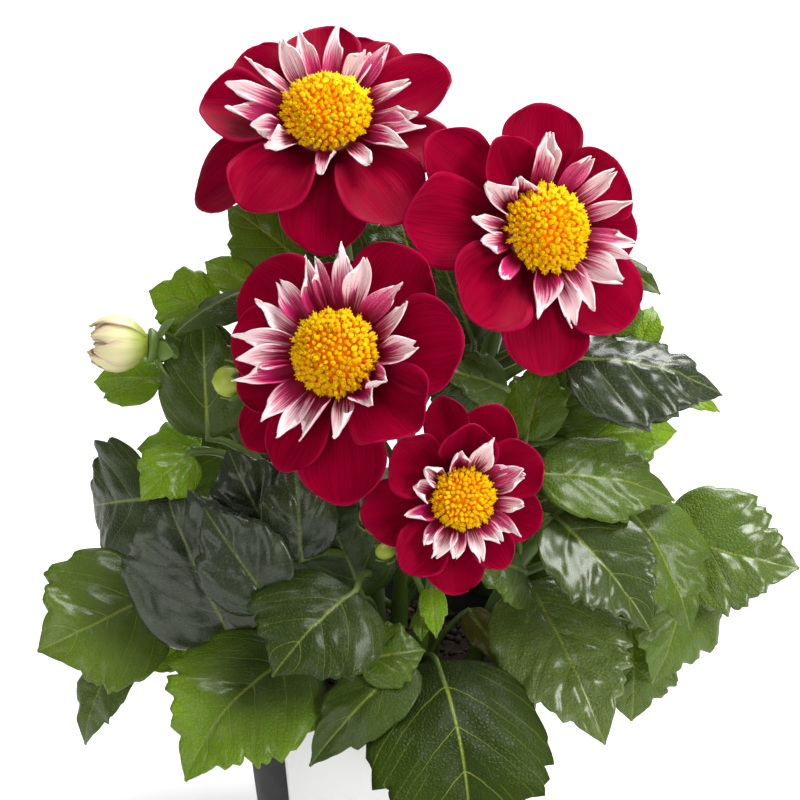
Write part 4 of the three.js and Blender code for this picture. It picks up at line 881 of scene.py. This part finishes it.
for name, stem in STEMS.items():
    knots = [Vector(knot) for knot in stem["path"]]
    if "bloom" in stem:
        seat, size = BLOOMS[stem["bloom"]]
        knots += [seat @ Vector((0, 0, -12)), seat @ Vector((0, 0, -4))]
    path = smooth_path(knots, STEM_STEPS)
    runs = [tapered(path, *stem["radii"])]
    runs += [stalk(path, row) for row in stem["leaves"]]
    parts = []
    for bud in stem.get("buds", []):
        bud_shell, bud_run = green_bud(path, *bud)
        parts.append(bud_shell)
        runs.append(bud_run)
    if "bloom" in stem:
        radius = HEAD_RADIUS * size
        ring = bracts(0.3, (radius * 0.4, -3.5), (radius + 5 * size, -11 * size), 8 * size)
        parts.append(head_cup(radius, seat, ring))
    if name == "stem_left":
        ring = bracts(0.1, (3.5, -4), (12, -10), 7.5)
        parts.append(head_cup(CREAM_BUD_RADIUS, CREAM_BUD_SEAT, ring))
    leafy = joined(blades(stem["leaves"]), painted(tubes(runs), STEM_SKIN), *parts)
    finished(leafy, "leafy_" + name, LEAFY_FINISHES, "leaf_green", name)

# Ray petals
# Nine or ten broad velvety crimson petals ring each bloom, overlapping in two layers. They carry
# painted shade towards the throat, a painted highlight on their rims, and some are folded or bent back.
RAY_THICKNESS = 0.55
RAY_COLUMNS = 18
RAY_ROWS = 26
FOOT_RADIUS = HEAD_RADIUS - 1

# Each petal's angle round the bloom, length, width, slope at its foot and at its tip, how far it is
# cupped, and its layer.
RAYS = {
    1: [
        (25, 39, 30, 8, 14, 0.22, 1), (62, 34, 30, -2, 4, 0.08, 0), (96, 33, 30, 6, 8, 0.2, 1),
        (136, 36, 30, 0, 6, 0.08, 0), (174, 37, 32, 8, 6, 0.2, 1), (205, 48, 30, -10, -40, 0.08, 0),
        (236, 38, 34, 8, -6, 0.3, 1), (271, 42, 34, -4, -28, 0.05, 0), (306, 42, 34, 7, -13, 0.2, 1),
        (346, 38, 30, -2, 2, 0.08, 0),
    ],
    2: [
        (75, 37, 35, 0, 12, 0.1, 0), (26, 30, 32, 8, 20, 0.2, 1), (350, 30, 28, 0, 10, 0.08, 0),
        (304, 38, 36, 8, 14, 0.2, 1), (260, 43, 38, -2, 6, 0.1, 0), (212, 40, 38, 10, 26, 0.28, 1),
        (166, 46, 38, 0, 14, 0.15, 0), (134, 45, 30, -2, 9, 0.1, 0), (113, 29, 26, 10, 32, 0.3, 1),
    ],
    3: [
        (58, 37, 36, 2, 18, 0.1, 0), (95, 25, 26, -6, -8, 0.08, 0), (10, 38, 38, 8, 18, 0.22, 1),
        (322, 34, 37, 9, 32, 0.38, 1), (279, 44, 34, 0, 0, 0.08, 0), (250, 36, 24, 6, 4, 0.15, 1),
        (228, 37, 24, -4, -4, 0.08, 0), (204, 29, 24, -4, 0, 0.08, 0), (176, 29, 30, 8, 10, 0.2, 1),
        (142, 35, 36, 0, 6, 0.1, 0),
    ],
    4: [
        (98, 31, 18, 0, 16, 0.15, 0), (64, 30, 22, 2, 16, 0.12, 0), (82, 24, 23, 18, 52, 0.4, 1),
        (26, 26, 24, 8, 22, 0.3, 1), (340, 24, 20, 0, 14, 0.12, 0), (300, 23, 16, 10, 20, 0.3, 1),
        (262, 28, 24, -2, 10, 0.1, 0), (228, 27, 22, 8, 18, 0.3, 1), (188, 30, 26, 0, 12, 0.12, 0),
        (142, 26, 26, 12, 30, 0.36, 1),
    ],
}


def petal_side(angle, length, width, slopes, start, outline, relief, reach, cup=0.1, roll=0, sweep=0):
    """Function that gives a point of a petal's inner side, running outward with a changing slope."""
    outward, side = ways_round(math.radians(angle))
    low, high = math.radians(slopes[0]), math.radians(slopes[1])
    twist = math.radians(roll)
    change = high - low if abs(high - low) > 0.001 else 0.001

    def point(u, v):
        w = reach(u, v)
        slope = low + change * w
        r = start[0] + length * (math.sin(slope) - math.sin(low)) / change
        z = start[1] + length * (math.cos(low) - math.cos(slope)) / change
        half = width / 2 * outline(v)
        lift = cup * min(5 * v, 1) * half * u * u + math.sin(twist * w) * u * half + relief(u, v, half)
        across = u * half * math.cos(twist * w) + sweep * length * w * w
        run = outward * (r - math.sin(slope) * lift)
        return run + Vector((0, 0, z + math.cos(slope) * lift)) + side * across

    return point


def ray_reach(u, v):
    return v - 0.1 * u * u * v * v


def ray_outline(v):
    if v < 0.66:
        return 0.28 + 0.72 * math.sin(v / 0.66 * math.pi / 2) ** 1.1
    return math.sqrt(1 - ((v - 0.66) / 0.41) ** 2)


def petals(sides, columns, rows, thickness):
    """Thin closed petals, with the place across and along and a number of its own on each."""
    shell = bmesh.new()
    place = shell.verts.layers.float_vector.new("place_on_petal")
    for number, side in enumerate(sides):
        for vert, u, v in grid_points(shell, columns, rows):
            vert.co = side(u, v)
            vert[place] = (u, v, number * 0.37)
    return modified(shell, "SOLIDIFY", thickness=thickness, offset=-1, material_offset=1)


def ray_relief(number):
    """Gentle ruffles, a crease down the middle and fine ridges of one ray petal."""
    def relief(u, v, half):
        ruffle = 0.13 * half * abs(u) ** 3 * math.sin(6 * v + 2.1 * number + (1.2 if u > 0 else 0))
        crease = -0.6 * math.exp(-(u * half / 2.2) ** 2) * math.sin(math.pi * min(1, v * 1.1))
        ridge = 0.10 * math.cos(u * 22) * v * (1 - abs(u) ** 4)
        sway = 1.3 * math.sin(2.6 * v + number) * u * v
        dent = 0.09 * half * math.sin(4 * u + number) * math.sin(3 * v + 2 * number) * v
        return ruffle + crease + ridge + sway + dent
    return relief


def ring_band(inner, outer, low, high):
    return spun([(inner, low), (outer, low), (outer, high), (inner, high), (inner, low)], 40)


def ray_finish(name, back):
    finish = Finish(name, Specular_IOR_Level=0.16, Specular_Tint=(1.0, 0.02, 0.12, 1))
    across, along, number = finish.attribute("place_on_petal")
    lines = finish.vector(across * 14.0, along * 0.9, number * 9.0)
    veins = finish.noise(lines, 1.6, 4.0, 0.65)
    cloud = finish.noise(finish.object_place(), 70.0, 2.0)
    # Painted highlight: a paler crimson along the rims and the tip of each petal.
    rim = abs(across).smooth(0.86, 1.0) + along.smooth(0.94, 1.0)
    # Painted shade: the petal is darkened towards its throat, where the collar and the overlapping petals
    # shade it.
    painted_throat_shade = along.smooth(0.0, 0.50, 1.0, 0.0)
    red = finish.mix(veins.smooth(0.25, 0.75), (0.150, 0.000, 0.010), (0.300, 0.000, 0.023))
    red = finish.mix(cloud.smooth(0.35, 0.7) * 0.5, red, (0.240, 0.000, 0.016))
    # The painted throat shade.
    red = finish.mix(painted_throat_shade * 0.75, red, (0.070, 0.000, 0.008))
    light = veins.smooth(0.66, 0.84) * along.smooth(0.2, 0.6)
    red = finish.mix(light * 0.25, red, (0.400, 0.004, 0.040))
    # The painted rim highlight.
    red = finish.mix(rim * 0.35, red, (0.430, 0.005, 0.060))
    if back:
        pale = veins.smooth(0.45, 0.75) * along.smooth(0.1, 0.6)
        red = finish.mix(pale * 0.45 + 0.08, red, (0.460, 0.080, 0.150))
    finish.use(
        Base_Color=red,
        Roughness=cloud.smooth(0.3, 0.7, 0.36, 0.50),
        Normal=finish.bump(veins, 0.35, 0.0006),
    )
    return finish.material


ray_finishes = [ray_finish("crimson_petal", False), ray_finish("crimson_petal_back", True)]
for number, (seat, size) in BLOOMS.items():
    sides = []
    for i, (angle, length, width, low, high, cup, layer) in enumerate(RAYS[number]):
        start = (FOOT_RADIUS * size, 1.4 + 1.2 * layer)
        shape = (angle, length, width, (low, high), start, ray_outline, ray_relief(i + 3 * number))
        sides.append(petal_side(*shape, ray_reach, cup=cup + 0.06))
    band = ring_band(9 * size, (HEAD_RADIUS + 1) * size, 0.3, 3.3)
    rays = joined(petals(sides, RAY_COLUMNS, RAY_ROWS, RAY_THICKNESS), painted(band, 0))
    moved(rays, seat)
    finished(rays, f"bloom_{number}_ray_petals", ray_finishes, "petal_crimson", f"bloom_{number}_rays")

# Collar florets
# Inside the rays stands a ruff of narrow petals half their length, magenta at the foot and streaked
# into white at the tip. Each is channelled, twisted and nicked its own way.
FLORET_THICKNESS = 0.45
FLORET_COLUMNS = 8
FLORET_ROWS = 18
NICK_DEPTH = 0.26
NICKED_SHARE = 0.45

# The seed of a collar's irregularities, its usual floret's width, and each floret's angle round the
# bloom, length and how much steeper than the others it stands.
COLLARS = {
    1: (11, 8.0, [
        (92, 28, 0), (66, 22, 0), (45, 28, 0), (28, 26, 0), (2, 25, 0), (-14, 27, 0), (-31, 24, 0),
        (-50, 24, 0), (-84, 19, 0), (222, 17, 10), (200, 19, 0), (184, 27, 0), (166, 29, 0), (144, 27, 0),
        (126, 28, 0), (109, 26, 0),
    ]),
    2: (23, 8.5, [
        (91, 25, 12), (72, 28, 0), (54, 24, 0), (31, 27, 0), (9, 25, 0), (-14, 27, 0), (-30, 24, 0),
        (-48, 27, 0), (-68, 24, 0), (-86, 30, 0), (-106, 22, 0), (208, 24, 10), (190, 22, 8), (168, 26, 4),
        (146, 24, 8), (122, 17, 30),
    ]),
    3: (37, 8.5, [
        (90, 29, 0), (74, 29, 0), (56, 24, 0), (25, 26, 6), (4, 24, 6), (-24, 20, 32), (-48, 20, 34),
        (-70, 25, 8), (-98, 23, 0), (244, 28, 0), (224, 26, 0), (206, 27, 0), (190, 26, 0), (174, 27, 0),
        (157, 24, 0), (138, 25, 0), (121, 26, 0), (105, 28, 0),
    ]),
    4: (51, 6.6, [
        (98, 15, 30), (64, 20, 20), (33, 19, 10), (16, 20, 6), (-8, 19, 8), (-28, 18, 8), (-54, 15, 8),
        (-74, 18, 4), (-96, 18, 4), (-116, 18, 4), (222, 18, 8), (202, 17, 8), (166, 15, 12), (142, 15, 14),
    ]),
}


def draws(seed):
    """Even draws between 0 and 1, the same ones in every run."""
    state = seed
    while True:
        state = (state * 1664525 + 1013904223) % 4294967296
        yield state / 4294967296


def floret_outline(v):
    if v < 0.55:
        return 0.40 + 0.60 * math.sin(v / 0.55 * math.pi / 2)
    return 1 - 0.62 * ((v - 0.55) / 0.45) ** 2


def floret_reach(lean, fork):
    """How far along each line of a floret runs: a skew point, or two points beside a nick."""
    def reach(u, v):
        off = u - lean
        return v * (1 - 0.24 * abs(off) ** 1.3 * v ** 3 - fork * math.exp(-(off * 3.2) ** 2) * v ** 4)
    return reach


def floret_relief(number, curl):
    """Channel, curled tip and waved edges of one collar floret."""
    def relief(u, v, half):
        wave = 0.30 * half * u * math.sin(6 * v + number * 1.9)
        crimp = 0.40 * math.cos(8 * u + number) * v
        return wave + crimp + curl * max(0, v - 0.55) ** 2 / 0.2
    return relief


collar_finish = Finish("streaked_floret", Specular_IOR_Level=0.25)
across, along, number = collar_finish.attribute("place_on_petal")
lines = collar_finish.vector(across * 6.0, along * 1.3, number * 7.0)
streak = collar_finish.noise(lines, 1.5, 3.0, 0.6)
own = collar_finish.node("ShaderNodeTexWhiteNoise", {"noise_dimensions": "1D"}, {"W": number}, "Value")
pale = along + abs(across) ** 4 * 0.06 + streak * 1.20 + own * 0.62
white = pale.smooth(1.40, 1.78)
foot = along.smooth(0.0, 0.16, 1.0, 0.0)
magenta = along.smooth(0.15, 0.6)
magenta = collar_finish.mix(magenta, (0.240, 0.000, 0.022), (0.580, 0.012, 0.150))
collar_color = collar_finish.mix(white, magenta, (0.900, 0.740, 0.750))
collar_finish.use(
    Base_Color=collar_finish.mix(foot * 0.4, collar_color, (0.380, 0.200, 0.080)),
    Roughness=streak.smooth(0.3, 0.7, 0.42, 0.55),
    Normal=collar_finish.bump(streak, 0.35, 0.0004),
)

for number, (seed, floret_width, florets) in COLLARS.items():
    seat, size = BLOOMS[number]
    draw = draws(seed)
    sides = []
    for i, (angle, length, steep) in enumerate(florets):
        angle += 9 * (next(draw) - 0.5)
        width = floret_width * (0.80 + 0.50 * next(draw))
        slopes = (12 + steep * 0.4, 36 + steep * 1.3 + 14 * (next(draw) - 0.5))
        bends = {"cup": 0.5 + 0.9 * next(draw), "roll": 150 * (next(draw) - 0.5)}
        bends["sweep"] = 0.36 * (next(draw) - 0.5)
        reach = floret_reach(1.3 * (next(draw) - 0.5), NICK_DEPTH if next(draw) < NICKED_SHARE else 0)
        relief = floret_relief(i + 2 * number, 5.0 * (next(draw) - 0.4))
        start = ((HEAD_RADIUS - 0.8) * size, 5.3)
        shape = (angle, length * 1.06, width, slopes, start, floret_outline, relief, reach)
        sides.append(petal_side(*shape, **bends))
    collar = petals(sides, FLORET_COLUMNS, FLORET_ROWS, FLORET_THICKNESS)
    collar = joined(collar, painted(ring_band(9 * size, (HEAD_RADIUS + 0.6) * size, 3.8, 5.8), 0))
    moved(collar, seat)
    name = f"bloom_{number}_collar"
    finished(collar, name + "_florets", [collar_finish.material] * 2, "petal_pink_white", name)

# Disc florets
# The golden middle is a dome of two to three hundred tiny tube florets set in a spiral, open and
# starry at the rim and mostly still closed like beads in the middle, over a cushion. Painted shade
# turns the florets' feet and the cushion between them orange.
DISC_RADIUS = 17.2
DISC_HEIGHT = 9.5
DISC_BASE = 6.2
DOME_RINGS = 12
GOLDEN_ANGLE = math.radians(137.508)

# The number of florets in each disc, its width beside a full one, their usual girth, and how far up
# the dome (as an angle) they start to be closed.
FLORETS = {
    1: (300, 0.96, 1.02, 1.05),
    2: (290, 0.93, 1.02, 1.05),
    3: (270, 0.88, 1.02, 1.05),
    4: (185, 0.93, 0.92, 0.55),
}
CLOSED_SHARE = 0.85


def open_floret():
    """Small tube that flares into five pointed lobes round a pointed column."""
    shell = bmesh.new()

    def rim():
        return [edge for edge in shell.edges if edge.verts[0] in ring and edge.verts[1] in ring]

    ring = bmesh.ops.create_circle(shell, segments=10, radius=0.5)["verts"]
    rings = [(1.7, 0.68, 0, 0), (2.8, 0.95, 0.9, 1.7), (1.7, 0.30, 0, 0), (3.5, 0.16, 0, 0)]
    for height, radius, star, drop in rings:
        made = bmesh.ops.extrude_edge_only(shell, edges=rim())["geom"]
        ring = [item for item in made if isinstance(item, bmesh.types.BMVert)]
        for vert in ring:
            angle = math.atan2(vert.co.y, vert.co.x)
            point = 0.5 + 0.5 * math.cos(5 * angle)
            reach = radius + star * (point - 0.4)
            vert.co = (reach * math.cos(angle), reach * math.sin(angle), height + drop * (point - 0.5))
    bmesh.ops.edgeloop_fill(shell, edges=rim())
    bmesh.ops.recalc_face_normals(shell, faces=shell.faces)
    return shell


def closed_floret():
    """Bead-like floret that hasn't opened, with a blunt point."""
    return spun([(0, 0), (0.5, 0.2), (0.88, 1.4), (0.74, 2.3), (0.34, 3.1), (0, 3.8)], 8)


disc_finish = Finish(
    "golden_floret", Specular_IOR_Level=0.2, Specular_Tint=(1.0, 0.7, 0.1, 1),
    Subsurface_Weight=0.15, Subsurface_Scale=0.002,
)
height, middle, own = disc_finish.attribute("place_in_floret")
# Painted shade: the florets are orange at their feet and on the cushion, where they shade each other, and
# yellow at their tips.
painted_shade_orange = disc_finish.mix(own, (0.900, 0.270, 0.000), (0.960, 0.380, 0.000))
yellow = disc_finish.mix(own, (1.000, 0.490, 0.000), (1.000, 0.610, 0.004))
disc_color = disc_finish.mix(height.smooth(0.25, 0.75), painted_shade_orange, yellow)
disc_finish.use(
    Base_Color=disc_finish.mix(middle * 0.30, disc_color, (0.980, 0.520, 0.000)),
    Roughness=own.smooth(0.0, 1.0, 0.42, 0.58),
)
open_mesh = mesh_of(open_floret())
closed_mesh = mesh_of(closed_floret())

for number, (count, spread, usual_girth, closed_from) in FLORETS.items():
    seat, size = BLOOMS[number]
    chance = random.Random(90 + number)
    inner = (DISC_RADIUS * size - 2.4) * spread
    rise = DISC_HEIGHT * size - 1.6
    middle = DISC_BASE + 4.4 * size
    profile = [((HEAD_RADIUS - 2) * size, DISC_BASE), (inner - 1, middle - 1.5)]
    for i in range(DOME_RINGS + 1):
        lean = i * math.pi / (2 * DOME_RINGS)
        profile.append((inner * math.cos(lean), middle + rise * math.sin(lean)))
    disc = bmesh.new()
    disc.verts.layers.float_vector.new("place_in_floret")
    for i in range(count):
        lean = math.asin(1 - (i + 0.5) / count)
        outward = ways_round(i * GOLDEN_ANGLE)[0]
        foot = outward * inner * math.cos(lean) + Vector((0, 0, middle + rise * math.sin(lean) - 0.6))
        axis = (outward * math.cos(lean) + Vector((0, 0, 0.12 + 1.25 * math.sin(lean)))).normalized()
        axis += Vector([chance.uniform(-1, 1) for _ in range(3)]) * 0.30
        turn = axis.to_track_quat("Z", "Y").to_matrix().to_4x4()
        turn @= Matrix.Rotation(chance.uniform(0, ANY_TURN), 4, "Z")
        girth = usual_girth * chance.uniform(0.85, 1.15)
        tall = girth * chance.uniform(0.80, 1.30) * (1.15 if lean < 0.35 else 0.95)
        closed = lean > closed_from and chance.random() < CLOSED_SHARE
        before = len(disc.verts)
        disc.from_mesh(closed_mesh if closed else open_mesh)
        disc.verts.ensure_lookup_table()
        place = disc.verts.layers.float_vector["place_in_floret"]
        spot = Matrix.Translation(foot) @ turn @ Matrix.Diagonal((girth, girth, tall, 1))
        shade = chance.random()
        for vert in disc.verts[before:]:
            vert[place] = (vert.co.z / 3.2, 1 - min(1, lean * 1.6), shade)
            vert.co = spot @ vert.co
    disc = joined(disc, spun([(0, DISC_BASE)] + profile, 32))
    moved(disc, seat)
    name = f"bloom_{number}_disc"
    finished(disc, name + "_florets", [disc_finish.material], "disc_yellow", name)

# Cream bud
# A bloom about to open on the left stem: pale cream petals wrapped over each other round a core,
# greenish at the foot and flushed pink along their edges.
BUD_PETAL_THICKNESS = 0.55
BUD_PETAL_COLUMNS = 14
BUD_PETAL_ROWS = 20

# The count of petals in each whorl, and their length, width, slope at the foot and at the tip, and
# the radius that they stand on.
BUD_WHORLS = [(8, 24.0, 10.8, 22, 138, 3.4), (7, 22.5, 8.5, 30, 140, 2.6)]

bud_finish = Finish("cream_petal", Subsurface_Weight=0.1, Subsurface_Scale=0.003)
across, along, number = bud_finish.attribute("place_on_petal")
lines = bud_finish.vector(across * 6.0, along, number * 7.0)
veins = bud_finish.noise(lines, 1.5, 3.0)
cream = bud_finish.mix(veins, (0.760, 0.720, 0.410), (0.700, 0.610, 0.300))
cream = bud_finish.mix(along.smooth(0.05, 0.62, 0.95, 0.0), cream, (0.360, 0.460, 0.045))
blush = (abs(across) * 0.6 + along * 0.7 + veins * 0.5).smooth(0.95, 1.35)
bud_finish.use(
    Base_Color=bud_finish.mix(blush * 0.6, cream, (0.620, 0.330, 0.340)),
    Roughness=veins.smooth(0.3, 0.7, 0.4, 0.52),
    Normal=bud_finish.bump(veins, 0.5, 0.0005),
)


def bud_relief(number):
    """Furrows of a bud petal, its edges turned in and its tip turned out."""
    def relief(u, v, half):
        furrows = 0.22 * math.cos(7 * u + number) * min(1, 2 * v)
        return furrows - 0.12 * half * abs(u) ** 3 - 0.3 * max(0, v - 0.82) / 0.18
    return relief


def bud_outline(v):
    return 0.35 + 0.65 * math.sin(v / 0.6 * math.pi / 2) if v < 0.6 else 1 - 0.75 * ((v - 0.6) / 0.4) ** 1.6


bud_sides = []
for whorl, (count, length, width, low, high, foot) in enumerate(BUD_WHORLS):
    for i in range(count):
        odd = i % 2
        angle = 360 / count * i + 9 * math.sin(3 * i + whorl)
        slopes = (low + 5 * odd, high + 5 * math.sin(2 * i))
        relief = bud_relief(i + 5 * whorl)
        shape = (angle, length + odd, width, slopes, (foot, 1.4), bud_outline, relief, ray_reach)
        bud_sides.append(petal_side(*shape, cup=0.35, roll=8 * math.sin(5 * i)))
core = spun([(0, 0.3), (4.6, 0.3), (5.4, 6), (5.3, 13), (3.9, 17.3), (1.8, 19.2), (0, 19.7)], 24)
bud = petals(bud_sides, BUD_PETAL_COLUMNS, BUD_PETAL_ROWS, BUD_PETAL_THICKNESS)
bud = moved(joined(bud, painted(core, 0)), CREAM_BUD_SEAT)
finished(bud, "half_open_bud", [bud_finish.material] * 2, "petal_cream", "cream_bud")
